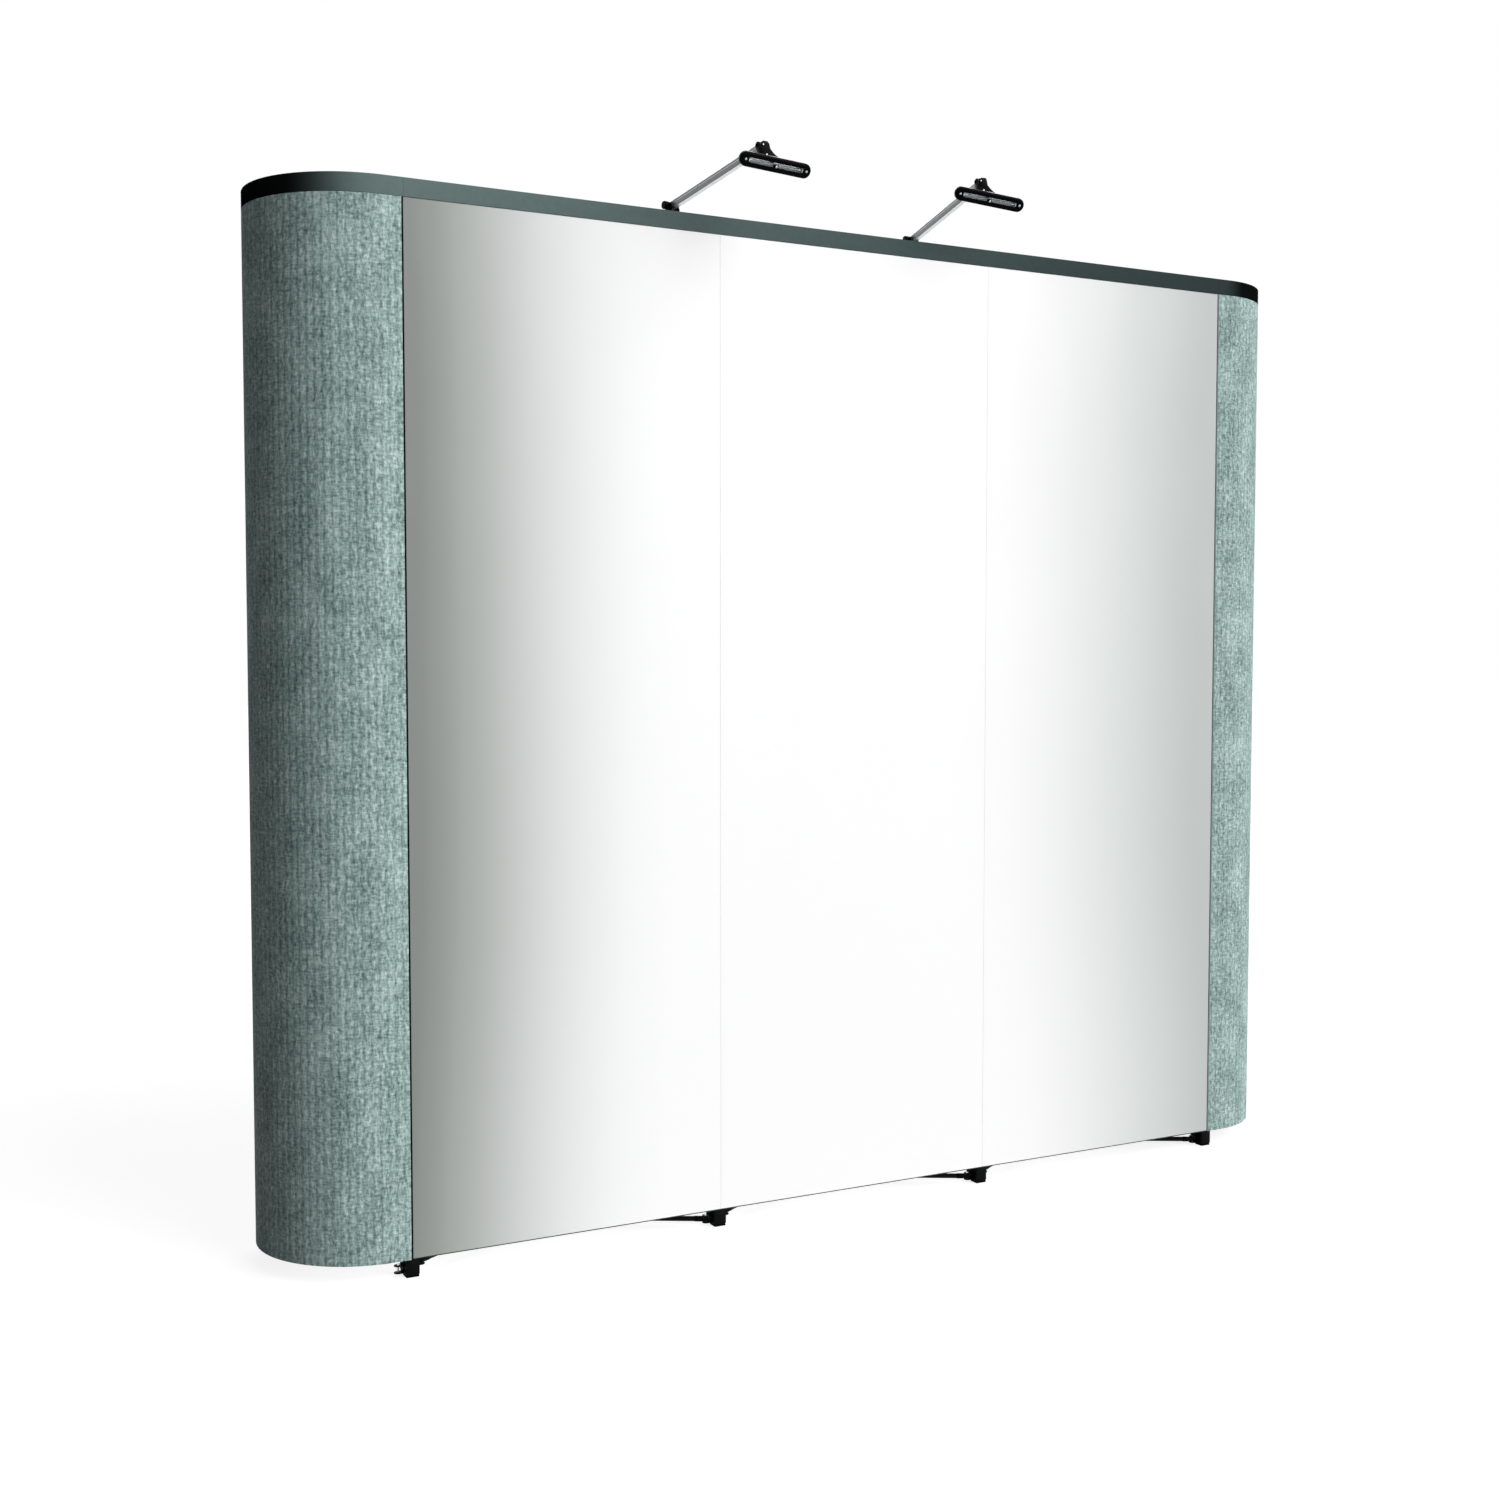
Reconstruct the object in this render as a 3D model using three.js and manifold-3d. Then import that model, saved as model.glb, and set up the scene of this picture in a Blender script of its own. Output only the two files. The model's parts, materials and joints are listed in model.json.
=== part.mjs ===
import * as THREE from 'three';
import Module from 'manifold-3d';
import { ConvexGeometry } from 'three/addons/geometries/ConvexGeometry.js';
import { mergeVertices } from 'three/addons/utils/BufferGeometryUtils.js';

// A straight pop-up exhibition backwall, in millimetres, +Z up.
// A folding lattice of hubs and crossed tubes stands on eight feet. Magnetic channel bars
// hang on its hubs and hold three flat mural panels in front and a bent fabric panel round
// each end. A slim header cap runs along the top, and two arm lamps stand on rails between
// the top hubs. The front looks along -Y, and X runs from left to right as seen from there.
// While it is built, Y is zero on the plane on which the front panels seat.

// Clearances
const seatGap = 0.3;
const seamGap = 0.4;
const overrun = 2;

// The wall of panels
const muralCount = 3;
const quadWidth = 737;
const quadHeight = 737;
const quadRows = 3;
const muralThickness = 1.5;
const panelFloorGap = 40;
const panelOverlap = 14;
const wallDepth = 460;
const endStraight = 41;
const endThickness = 3.2;
const bendSteps = 24;

// The header cap
const headerHeight = 40;
const headerFaceThickness = 3.2;
const headerFlangeDepth = 26;
const headerFlangeThickness = 2.5;
const headerTabWidth = 13;
const headerTabDepth = 4.3;

// The magnetic channel bars
const barWidth = 34;
const barDepth = 7;
const barWall = 1.5;
const barRise = 5;

// The hubs
const hubWidth = 30;
const hubDepth = 38;
const hubHeight = 34;
const hubChamfer = 4;
const bottomHubHeight = 21;
const keyWidth = 22;
const keyHeight = 20;
const lugReach = 19;
const lugWidth = 18;
const lugThickness = 2.5;
const lugChamfer = 5;
const pivotReach = 10;
const socketRise = 14;
const socketWall = 2;
const socketDepth = 20;

// The feet
const footWidth = 30;
const footDepth = 28;
const footInset = 0.8;
const footRise = 42;

// The crossed tubes
const tubeDiameter = 12;
const tubeGap = 0.4;
const tubeSides = 10;
const tubeTip = 5;

// The rails between the top hubs, with the clamp and post of a lamp on each
const railDiameter = 14;
const railSides = 12;
const clampWidth = 26;
const clampHeight = 26;
const clampLength = 34;
const postDiameter = 14;
const firstPost = { column: 1, railShare: 0.551, height: 147 };
const secondPost = { column: 2, railShare: 0.826, height: 161 };

// The lamps
const knuckleDiameter = 34;
const knuckleDisc = 8;
const knuckleCheek = 4;
const knuckleLength = 30;
const knuckleRise = 9;
const armLength = 408;
const armWidth = 16;
const armHeight = 18;
const armChamfer = 3;
const armTip = 10;
const finThickness = 8;
const finPivotRadius = 8;
const finSeatHalf = 8;
const finArcSteps = 6;
const webThickness = 5;
const webClearance = 1.5;
const webTop = 4;
const webTopReach = 3;
const webNeckReach = 7;
const webNeckDrop = 8;
const webReach = 30;
const webReachDrop = 23;
const webDrop = 30;
const headForward = 46;
const headDown = 48;
const headLength = 178;
const headWidth = 32;
const headDepth = 28;
const headBevel = 5;
const headSide = 8;
const headBackLength = 130;
const headBackWidth = 18;
const headDomeSteps = 4;
const headArcSteps = 6;
const glandDiameter = 10;
const glandReach = 7;
const glandShare = 0.55;
const glandSides = 12;
const troughLength = 138;
const troughWidth = 12;
const troughDepth = 14;
const reflectorWall = 1;
const reflectorInset = 1;
const reflectorEnd = 2;
const reflectorSteps = 6;
const bulbDiameter = 5;
const bulbSides = 10;

// How the lamps are set
const headAimDegrees = 25;
const firstSetting = { yawDegrees: 3.2, liftDegrees: 6.6, rollDegrees: 2.6 };
const secondSetting = { yawDegrees: -9.4, liftDegrees: 7.3, rollDegrees: 6.4 };

// Places that follow from these sizes
const columnCount = muralCount + 1;
const wallLeft = -muralCount * quadWidth / 2;
const panelHeight = quadRows * quadHeight + panelOverlap;
const panelTop = panelFloorGap + panelHeight;
const seatDepth = wallDepth - 2 * endThickness;
const hubInset = seatGap + barDepth + seatGap + hubDepth / 2;
const railReach = hubInset + hubDepth / 2 + seatGap;
const topHubHeight = bottomHubHeight + quadRows * quadHeight;
const headerBottom = panelTop + seatGap;
const headerTop = headerBottom + headerHeight;
const barBottom = footRise + seatGap;
const barTop = panelTop + barRise;
const tubeRadius = tubeDiameter / 2;
const tubeOffset = (tubeDiameter + tubeGap) / 2;
const sidePivot = hubWidth / 2 + pivotReach;
const endPivot = hubHeight / 2 + socketRise / 2;
const armSwing = Math.hypot(armTip, armHeight / 2);
const knuckleDrop = armSwing + seatGap;

const wasm = await Module();
wasm.setup();

// Solids from three.js geometry, and back

function toSolid(geometry) {
  const bare = geometry.clone();
  bare.deleteAttribute('normal');
  bare.deleteAttribute('uv');
  const welded = mergeVertices(bare);
  return new wasm.Manifold(new wasm.Mesh({
    numProp: 3,
    vertProperties: Float32Array.from(welded.attributes.position.array),
    triVerts: Uint32Array.from(welded.index.array),
  }));
}

function fromSolid(solid) {
  const result = solid.getMesh();
  const geometry = new THREE.BufferGeometry();
  geometry.setAttribute('position', new THREE.BufferAttribute(Float32Array.from(result.vertProperties), 3));
  geometry.setIndex(new THREE.BufferAttribute(Uint32Array.from(result.triVerts), 1));
  geometry.computeVertexNormals();
  return geometry;
}

function joined(geometries) {
  const solids = geometries.map(toSolid);
  return fromSolid(solids.reduce((whole, piece) => whole.add(piece)));
}

function cutFrom(geometry, cutters) {
  const whole = toSolid(geometry);
  return fromSolid(cutters.map(toSolid).reduce((rest, cutter) => rest.subtract(cutter), whole));
}

// A box from its low to its high corner

function block(low, high) {
  const size = new THREE.Vector3().subVectors(high, low);
  const middle = new THREE.Vector3().addVectors(low, high).multiplyScalar(0.5);
  return new THREE.BoxGeometry(size.x, size.y, size.z).translate(middle.x, middle.y, middle.z);
}

function at(x, y, z) {
  return new THREE.Vector3(x, y, z);
}

function outlineOf(points) {
  return new THREE.Shape(points.map(([across, up]) => new THREE.Vector2(across, up)));
}

// Three ways to give an outline its thickness: along Z, along X and along Y

function raise(outline, bottom, top) {
  const options = { depth: top - bottom, bevelEnabled: false };
  return new THREE.ExtrudeGeometry(outline, options).translate(0, 0, bottom);
}

function spreadX(outline, left, right) {
  const turn = new THREE.Matrix4().makeBasis(at(0, 1, 0), at(0, 0, 1), at(1, 0, 0));
  const options = { depth: right - left, bevelEnabled: false };
  return new THREE.ExtrudeGeometry(outline, options).applyMatrix4(turn).translate(left, 0, 0);
}

function spreadY(outline, front, back) {
  const turn = new THREE.Matrix4().makeBasis(at(1, 0, 0), at(0, 0, 1), at(0, -1, 0));
  const options = { depth: back - front, bevelEnabled: false };
  return new THREE.ExtrudeGeometry(outline, options).applyMatrix4(turn).translate(0, back, 0);
}

// A rectangle with its corners cut off, centred

function chamfered(width, height, cut) {
  const x = width / 2;
  const y = height / 2;
  return outlineOf([
    [-x + cut, -y], [x - cut, -y], [x, -y + cut], [x, y - cut],
    [x - cut, y], [-x + cut, y], [-x, y - cut], [-x, -y + cut],
  ]);
}

// A round tube from one point to another

function tube(start, end, diameter, sides) {
  const run = new THREE.Vector3().subVectors(end, start);
  const turn = new THREE.Quaternion().setFromUnitVectors(at(0, 1, 0), run.clone().normalize());
  const middle = new THREE.Vector3().addVectors(start, end).multiplyScalar(0.5);
  return new THREE.CylinderGeometry(diameter / 2, diameter / 2, run.length(), sides)
    .applyQuaternion(turn)
    .translate(middle.x, middle.y, middle.z);
}

// Materials

function material(color, roughness, metalness) {
  return new THREE.MeshStandardMaterial({ color, roughness, metalness });
}

const muralFilm = () => material(0xf2f2f1, 0.45, 0);
const ribbedFabric = () => material(0x86a19b, 0.95, 0);
const headerPlastic = () => material(0x55655f, 0.5, 0);
const barAluminium = () => material(0x2a2c2e, 0.5, 0.6);
const hubPlastic = () => material(0x111312, 0.55, 0);
const tubeEnamel = () => material(0x17191a, 0.4, 0.6);
const lampPlastic = () => material(0x08090a, 0.2, 0);
const armAluminium = () => material(0xb9bcc0, 0.35, 0.9);
const reflectorAluminium = () => material(0xcdd3d1, 0.18, 1);
const bulbGlass = () => material(0xf4f4ee, 0.1, 0);

const backwall = new THREE.Group();

function addPiece(parent, name, geometry, finish) {
  const piece = new THREE.Mesh(geometry, finish);
  piece.name = name;
  parent.add(piece);
  return piece;
}

function columnX(column) {
  return wallLeft + column * quadWidth;
}

function levelZ(level) {
  return bottomHubHeight + level * quadHeight;
}

// Flat mural panels

function addMurals() {
  for (let number = 0; number < muralCount; number += 1) {
    const low = at(columnX(number) + seamGap / 2, -muralThickness, panelFloorGap);
    const high = at(columnX(number + 1) - seamGap / 2, 0, panelTop);
    addPiece(backwall, `mural_${number + 1}`, block(low, high), muralFilm());
  }
}

// The plan of a strip that leaves the wall, bends half round and comes back behind it.
// side is -1 on the left and 1 on the right, and depth is how thick the strip is.

function bentStrip(side, depth) {
  const seam = side < 0 ? wallLeft : -wallLeft;
  const radius = wallDepth / 2;
  const middle = seatDepth / 2;
  const points = [];
  const follow = (bend, from, to) => {
    points.push([seam + side * seamGap / 2, middle + from * bend]);
    for (let step = 0; step <= bendSteps; step += 1) {
      const angle = (from + (to - from) * step / bendSteps) * Math.PI / 2;
      points.push([seam + side * (endStraight + bend * Math.cos(angle)), middle + bend * Math.sin(angle)]);
    }
    points.push([seam + side * seamGap / 2, middle + to * bend]);
  };
  follow(radius, -1, 1);
  follow(radius - depth, 1, -1);
  return outlineOf(points);
}

function addEndPanels() {
  const left = raise(bentStrip(-1, endThickness), panelFloorGap, panelTop);
  const right = raise(bentStrip(1, endThickness), panelFloorGap, panelTop);
  addPiece(backwall, 'end_panel_left', left, ribbedFabric());
  addPiece(backwall, 'end_panel_right', right, ribbedFabric());
}

// Header cap: a face, a flange turned back along its top, and tabs that stand on the bars

function headerTab(column, side, rear) {
  const edge = columnX(column) + side * seamGap / 2;
  const tip = edge + side * headerTabWidth;
  const root = headerFaceThickness / 2 - endThickness;
  const front = rear ? seatDepth - headerTabDepth : root;
  const back = rear ? seatDepth - root : headerTabDepth;
  const low = at(Math.min(edge, tip), front, barTop + seatGap);
  const high = at(Math.max(edge, tip), back, headerTop - headerFlangeThickness / 2);
  return block(low, high);
}

function addStraightHeader() {
  const face = -endThickness;
  const outline = outlineOf([
    [face, headerBottom],
    [face + headerFaceThickness, headerBottom],
    [face + headerFaceThickness, headerTop - headerFlangeThickness],
    [face + headerFlangeDepth, headerTop - headerFlangeThickness],
    [face + headerFlangeDepth, headerTop],
    [face, headerTop],
  ]);
  const strip = spreadX(outline, wallLeft + seamGap / 2, -wallLeft - seamGap / 2);
  const tabs = [headerTab(0, 1, false), headerTab(columnCount - 1, -1, false)];
  for (let column = 1; column < columnCount - 1; column += 1) {
    tabs.push(headerTab(column, 1, false), headerTab(column, -1, false));
  }
  addPiece(backwall, 'header_straight', joined([strip, ...tabs]), headerPlastic());
}

function addHeaderEnd(name, side) {
  const column = side < 0 ? 0 : columnCount - 1;
  const face = raise(bentStrip(side, headerFaceThickness), headerBottom, headerTop);
  const flange = raise(bentStrip(side, headerFlangeDepth), headerTop - headerFlangeThickness, headerTop);
  const tabs = [headerTab(column, side, false), headerTab(column, side, true)];
  addPiece(backwall, name, joined([face, flange, ...tabs]), headerPlastic());
}

// Channel bars, open towards the hubs that hold them

function channelBar(column, rear) {
  const face = rear ? seatDepth - seatGap : seatGap;
  const inward = rear ? -1 : 1;
  const half = barWidth / 2;
  const x = columnX(column);
  const outline = outlineOf([
    [x - half, face],
    [x + half, face],
    [x + half, face + inward * barDepth],
    [x + half - barWall, face + inward * barDepth],
    [x + half - barWall, face + inward * barWall],
    [x - half + barWall, face + inward * barWall],
    [x - half + barWall, face + inward * barDepth],
    [x - half, face + inward * barDepth],
  ]);
  return raise(outline, barBottom, barTop);
}

function addChannelBars() {
  for (let column = 0; column < columnCount; column += 1) {
    addPiece(backwall, `front_channel_bar_${column + 1}`, channelBar(column, false), barAluminium());
  }
  addPiece(backwall, 'rear_channel_bar_left', channelBar(0, true), barAluminium());
  addPiece(backwall, 'rear_channel_bar_right', channelBar(columnCount - 1, true), barAluminium());
}

// Hubs. Each is moulded round its own centre: a chamfered body, a key for the channel bar,
// a pair of lugs for each level tube and a socket for each upright tube.

function hubBody() {
  return spreadY(chamfered(hubWidth, hubHeight, hubChamfer), -hubDepth / 2, hubDepth / 2);
}

function hubKey(inward) {
  const root = -inward * (hubDepth / 2 - overrun);
  const tip = -inward * (hubInset - seatGap - barWall - seatGap);
  const low = at(-keyWidth / 2, Math.min(root, tip), -keyHeight / 2);
  const high = at(keyWidth / 2, Math.max(root, tip), keyHeight / 2);
  return block(low, high);
}

function hubFoot(inward) {
  const outer = -inward * (hubInset - footInset);
  const inner = outer + inward * footDepth;
  const low = at(-footWidth / 2, Math.min(outer, inner), -bottomHubHeight);
  const high = at(footWidth / 2, Math.max(outer, inner), footRise - bottomHubHeight);
  return block(low, high);
}

function hubLugs(side, lift) {
  const root = side * (hubWidth / 2 - overrun);
  const tip = side * (hubWidth / 2 + lugReach);
  const half = lugWidth / 2;
  const outline = outlineOf([
    [root, -half],
    [tip - side * lugChamfer, -half],
    [tip, -half + lugChamfer],
    [tip, half - lugChamfer],
    [tip - side * lugChamfer, half],
    [root, half],
  ]);
  const gap = tubeRadius + seatGap;
  return [
    raise(outline, lift + gap, lift + gap + lugThickness),
    raise(outline, lift - gap - lugThickness, lift - gap),
  ];
}

function hubSocket(way, offset) {
  const root = way * (hubHeight / 2 - overrun);
  const tip = way * (hubHeight / 2 + socketRise);
  const half = tubeRadius + socketWall;
  const low = at(offset - half, -socketDepth / 2, Math.min(root, tip));
  const high = at(offset + half, socketDepth / 2, Math.max(root, tip));
  return block(low, high);
}

// Every hub is the same moulding, so some lugs and keys stay unused at the ends and behind.
// Left lugs of a front hub sit low and its right lugs high. On a rear hub it is the other way
// round, so the two level tubes of a bay pass over each other.

function hub(level, rear, offset) {
  const inward = rear ? -1 : 1;
  const left = hubLugs(-1, -inward * tubeOffset);
  const right = hubLugs(1, inward * tubeOffset);
  const pieces = [hubBody(), hubKey(inward), ...left, ...right];
  if (level === 0) {
    pieces.push(hubFoot(inward));
  }
  if (level > 0) {
    pieces.push(hubSocket(-1, offset));
  }
  if (level < quadRows) {
    pieces.push(hubSocket(1, offset));
  }
  return pieces;
}

function hubY(rear) {
  return rear ? seatDepth - hubInset : hubInset;
}

// An upright chain zigzags from a front hub to a rear hub and back, one hub to a level.
// The two chains of a column cross half way up every quad.

function uprightChain(startsRear) {
  const offset = startsRear ? tubeOffset : -tubeOffset;
  const pieces = [];
  for (let level = 0; level <= quadRows; level += 1) {
    const rear = startsRear === (level % 2 === 0);
    const place = at(0, hubY(rear), levelZ(level));
    const solids = hub(level, rear, offset);
    pieces.push(...solids.map((solid) => solid.translate(place.x, place.y, place.z)));
    if (level < quadRows) {
      const start = at(offset, place.y, place.z + endPivot);
      const end = at(offset, hubY(!rear), levelZ(level + 1) - endPivot);
      pieces.push(tube(start, end, tubeDiameter, tubeSides));
    }
  }
  return joined(pieces);
}

function addUprights() {
  for (let column = 0; column < columnCount; column += 1) {
    for (const startsRear of [false, true]) {
      const name = `upright_chain_${column + 1}_${startsRear ? 'b' : 'a'}`;
      const chain = addPiece(backwall, name, uprightChain(startsRear), hubPlastic());
      chain.position.x = columnX(column);
    }
  }
}

// Level tubes, a crossed pair in each bay of each level, with their tips between the lugs

function levelTube(bay, level, frontOnLeft) {
  const lift = frontOnLeft ? tubeOffset : -tubeOffset;
  const start = at(columnX(bay) + sidePivot, hubY(!frontOnLeft), levelZ(level) + lift);
  const end = at(columnX(bay + 1) - sidePivot, hubY(frontOnLeft), levelZ(level) + lift);
  const tip = new THREE.Vector3().subVectors(end, start).setLength(tubeTip);
  return tube(start.sub(tip), end.add(tip), tubeDiameter, tubeSides);
}

function addLevelTubes() {
  for (let level = 0; level <= quadRows; level += 1) {
    for (let bay = 0; bay < muralCount; bay += 1) {
      for (const frontOnLeft of [true, false]) {
        const name = `level_tube_${level + 1}_${bay + 1}_${frontOnLeft ? 'upper' : 'lower'}`;
        addPiece(backwall, name, levelTube(bay, level, frontOnLeft), tubeEnamel());
      }
    }
  }
}

// A rail between the front and rear top hubs, with the clamp and the post of a lamp. The
// clamp stands at its share of the way that it can slide on the rail.

function postY(post) {
  const first = railReach + clampLength / 2;
  return first + post.railShare * (seatDepth - 2 * first);
}

function lampRail(post) {
  const y = postY(post);
  const rail = tube(at(0, railReach, 0), at(0, seatDepth - railReach, 0), railDiameter, railSides);
  const clamp = block(
    at(-clampWidth / 2, y - clampLength / 2, -clampHeight / 2),
    at(clampWidth / 2, y + clampLength / 2, clampHeight / 2),
  );
  const top = post.height - knuckleDrop - knuckleDisc - seatGap;
  const upright = tube(at(0, y, 0), at(0, y, top), postDiameter, railSides);
  return joined([rail, clamp, upright]);
}

// The knuckle turns on the post and holds the arm between two cheeks

function knuckle() {
  const top = at(0, 0, -knuckleDrop);
  const disc = tube(at(0, 0, -knuckleDrop - knuckleDisc), top, knuckleDiameter, railSides);
  const inner = armWidth / 2 + seatGap;
  const cheeks = [-1, 1].map((side) => {
    const near = side * inner;
    const far = side * (inner + knuckleCheek);
    return block(
      at(Math.min(near, far), -knuckleLength / 2, -knuckleDrop - overrun),
      at(Math.max(near, far), knuckleLength / 2, knuckleRise),
    );
  });
  return joined([disc, ...cheeks]);
}

function lampArm() {
  return spreadY(chamfered(armWidth, armHeight, armChamfer), -armLength - armTip, armTip);
}

// The fin bracket hangs on the left of the tip of the arm, as far off as its roll needs. Its seat lies
// along the back of the head, and its web crosses in front of the tip of the arm.

function finBracket(roll) {
  const aim = headAimDegrees * Math.PI / 180;
  const outward = [-Math.cos(aim), -Math.sin(aim)];
  const along = [-Math.sin(aim), Math.cos(aim)];
  const seatBack = headDepth / 2 + seatGap;
  const seat = [-headForward - outward[0] * seatBack, -headDown - outward[1] * seatBack];
  const upper = [seat[0] + along[0] * finSeatHalf, seat[1] + along[1] * finSeatHalf];
  const lower = [seat[0] - along[0] * finSeatHalf, seat[1] - along[1] * finSeatHalf];
  const points = [upper, lower];
  const first = -Math.PI / 4;
  const last = Math.PI * 3 / 4;
  for (let step = 0; step <= finArcSteps; step += 1) {
    const angle = first + (last - first) * step / finArcSteps;
    points.push([finPivotRadius * Math.cos(angle), finPivotRadius * Math.sin(angle)]);
  }
  const corner = armHeight / 2 - armChamfer;
  const near = (armWidth / 2 + seatGap + corner * Math.sin(roll)) / Math.cos(roll);
  const fin = spreadX(outlineOf(points), -near - finThickness, -near);
  return joined([fin, finWeb(-near - finThickness / 2)]);
}

function finWeb(left) {
  const rear = -armSwing - webClearance;
  const outline = outlineOf([
    [left, -webDrop], [webReach, -webDrop], [webReach, -webReachDrop],
    [webNeckReach, -webNeckDrop], [webTopReach, webTop], [left, webTop],
  ]);
  return spreadY(outline, rear - webThickness, rear);
}

// The head is made lying flat with its open face up: X along it, Y across it and Z out of it.
// Its back is domed down to a flat, on which the fin sits and a cord gland stands.

function headRing(length, width, height) {
  const radius = width / 2;
  const reach = length / 2 - radius;
  const points = [];
  for (const side of [1, -1]) {
    for (let step = 0; step <= headArcSteps; step += 1) {
      const angle = (step / headArcSteps - 1 / 2) * Math.PI;
      points.push(at(side * (reach + radius * Math.cos(angle)), side * radius * Math.sin(angle), height));
    }
  }
  return points;
}

function headShell() {
  const mouth = headDepth / 2;
  const inset = 2 * headBevel;
  const points = headRing(headLength - inset, headWidth - inset, mouth);
  points.push(...headRing(headLength, headWidth, mouth - headBevel));
  for (let step = 0; step <= headDomeSteps; step += 1) {
    const angle = (step / headDomeSteps) * Math.PI / 2;
    const length = headBackLength + (headLength - headBackLength) * Math.cos(angle);
    const width = headBackWidth + (headWidth - headBackWidth) * Math.cos(angle);
    points.push(...headRing(length, width, mouth - headSide - (headDepth - headSide) * Math.sin(angle)));
  }
  return new ConvexGeometry(points);
}

function lampHousing() {
  const mouth = headDepth / 2;
  const trough = block(
    at(-troughLength / 2, -troughWidth / 2, mouth - troughDepth),
    at(troughLength / 2, troughWidth / 2, mouth + overrun),
  );
  const glandX = -glandShare * headLength / 2;
  const glandRoot = at(glandX, 0, overrun - mouth);
  const gland = tube(glandRoot, at(glandX, 0, -mouth - glandReach), glandDiameter, glandSides);
  return cutFrom(joined([headShell(), gland]), [trough]);
}

// A bright trough, round at the bottom, whose end walls hold the lamp tube

const reflectorMouth = headDepth / 2 - reflectorInset;
const reflectorBottom = headDepth / 2 - troughDepth + seatGap;
const reflectorRadius = troughWidth / 2 - seatGap;

function troughOutline(radius, bottom, top) {
  const points = [[radius, top], [-radius, top]];
  for (let step = 0; step <= reflectorSteps; step += 1) {
    const angle = Math.PI * (1 + step / reflectorSteps);
    points.push([radius * Math.cos(angle), bottom + radius + radius * Math.sin(angle)]);
  }
  return outlineOf(points);
}

function reflector() {
  const half = troughLength / 2 - seatGap;
  const innerHalf = half - reflectorEnd;
  const innerRadius = reflectorRadius - reflectorWall;
  const outer = troughOutline(reflectorRadius, reflectorBottom, reflectorMouth);
  const inner = troughOutline(innerRadius, reflectorBottom + reflectorWall, reflectorMouth + overrun);
  return cutFrom(spreadX(outer, -half, half), [spreadX(inner, -innerHalf, innerHalf)]);
}

function lampTube() {
  const half = troughLength / 2 - seatGap - reflectorEnd - seatGap;
  const height = reflectorBottom + reflectorRadius;
  return tube(at(-half, 0, height), at(half, 0, height), bulbDiameter, bulbSides);
}

function addLamp(number, post, setting) {
  const degrees = Math.PI / 180;
  const lamp = new THREE.Group();
  lamp.position.set(columnX(post.column), 0, topHubHeight);
  backwall.add(lamp);
  addPiece(lamp, `lamp_rail_${number}`, lampRail(post), hubPlastic());

  const turned = new THREE.Group();
  turned.position.set(0, postY(post), post.height);
  turned.rotation.z = setting.yawDegrees * degrees;
  lamp.add(turned);
  addPiece(turned, `lamp_knuckle_${number}`, knuckle(), lampPlastic());

  const lifted = new THREE.Group();
  lifted.rotation.x = -setting.liftDegrees * degrees;
  turned.add(lifted);
  addPiece(lifted, `lamp_arm_${number}`, lampArm(), armAluminium());

  const tip = new THREE.Group();
  tip.position.y = -armLength;
  tip.rotation.set(setting.liftDegrees * degrees, setting.rollDegrees * degrees, 0, 'YXZ');
  lifted.add(tip);
  addPiece(tip, `lamp_fin_${number}`, finBracket(setting.rollDegrees * degrees), lampPlastic());

  const head = new THREE.Group();
  head.position.set(0, -headForward, -headDown);
  head.rotation.x = Math.PI / 2 + headAimDegrees * degrees;
  tip.add(head);
  addPiece(head, `lamp_housing_${number}`, lampHousing(), lampPlastic());
  addPiece(head, `lamp_reflector_${number}`, reflector(), reflectorAluminium());
  addPiece(head, `lamp_tube_${number}`, lampTube(), bulbGlass());
}

addMurals();
addEndPanels();
addStraightHeader();
addHeaderEnd('header_end_left', -1);
addHeaderEnd('header_end_right', 1);
addChannelBars();
addUprights();
addLevelTubes();
addLamp(1, firstPost, firstSetting);
addLamp(2, secondPost, secondSetting);

// The origin lies on the floor, under the middle of the whole display

backwall.updateMatrixWorld(true);
const extent = new THREE.Box3().setFromObject(backwall, true);
backwall.position.y = -(extent.min.y + extent.max.y) / 2;
backwall.updateMatrixWorld(true);

export default backwall;
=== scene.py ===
import json
import math

import bmesh
import bpy
from mathutils import Matrix, Vector, noise


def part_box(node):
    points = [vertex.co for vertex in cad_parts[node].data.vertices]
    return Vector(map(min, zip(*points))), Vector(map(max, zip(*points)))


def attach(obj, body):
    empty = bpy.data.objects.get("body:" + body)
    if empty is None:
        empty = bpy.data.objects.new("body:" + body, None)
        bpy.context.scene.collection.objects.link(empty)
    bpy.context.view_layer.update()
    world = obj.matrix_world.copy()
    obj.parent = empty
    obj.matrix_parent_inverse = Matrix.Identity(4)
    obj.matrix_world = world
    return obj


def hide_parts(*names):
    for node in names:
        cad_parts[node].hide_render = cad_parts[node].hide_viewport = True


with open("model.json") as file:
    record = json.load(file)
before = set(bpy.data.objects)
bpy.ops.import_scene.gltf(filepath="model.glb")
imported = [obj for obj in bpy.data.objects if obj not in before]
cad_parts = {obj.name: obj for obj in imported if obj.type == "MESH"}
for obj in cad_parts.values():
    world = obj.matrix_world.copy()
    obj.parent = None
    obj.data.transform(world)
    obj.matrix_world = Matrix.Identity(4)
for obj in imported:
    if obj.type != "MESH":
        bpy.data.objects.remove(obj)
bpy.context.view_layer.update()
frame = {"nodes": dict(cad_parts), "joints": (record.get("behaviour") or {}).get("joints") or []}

# Sizes of the wall, in metres, the same as those of the solid part

SEAM_GAP = 0.0004
SEAT_GAP = 0.0003
MURAL_THICKNESS = 0.0015
MURAL_COUNT = 3
QUAD = 0.737
ROWS = 3
WALL_DEPTH = 0.460
END_STRAIGHT = 0.041
END_THICKNESS = 0.0032
SEAT_DEPTH = WALL_DEPTH - 2 * END_THICKNESS
BAR_RISE = 0.005

# Sizes of the bent ends

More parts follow.
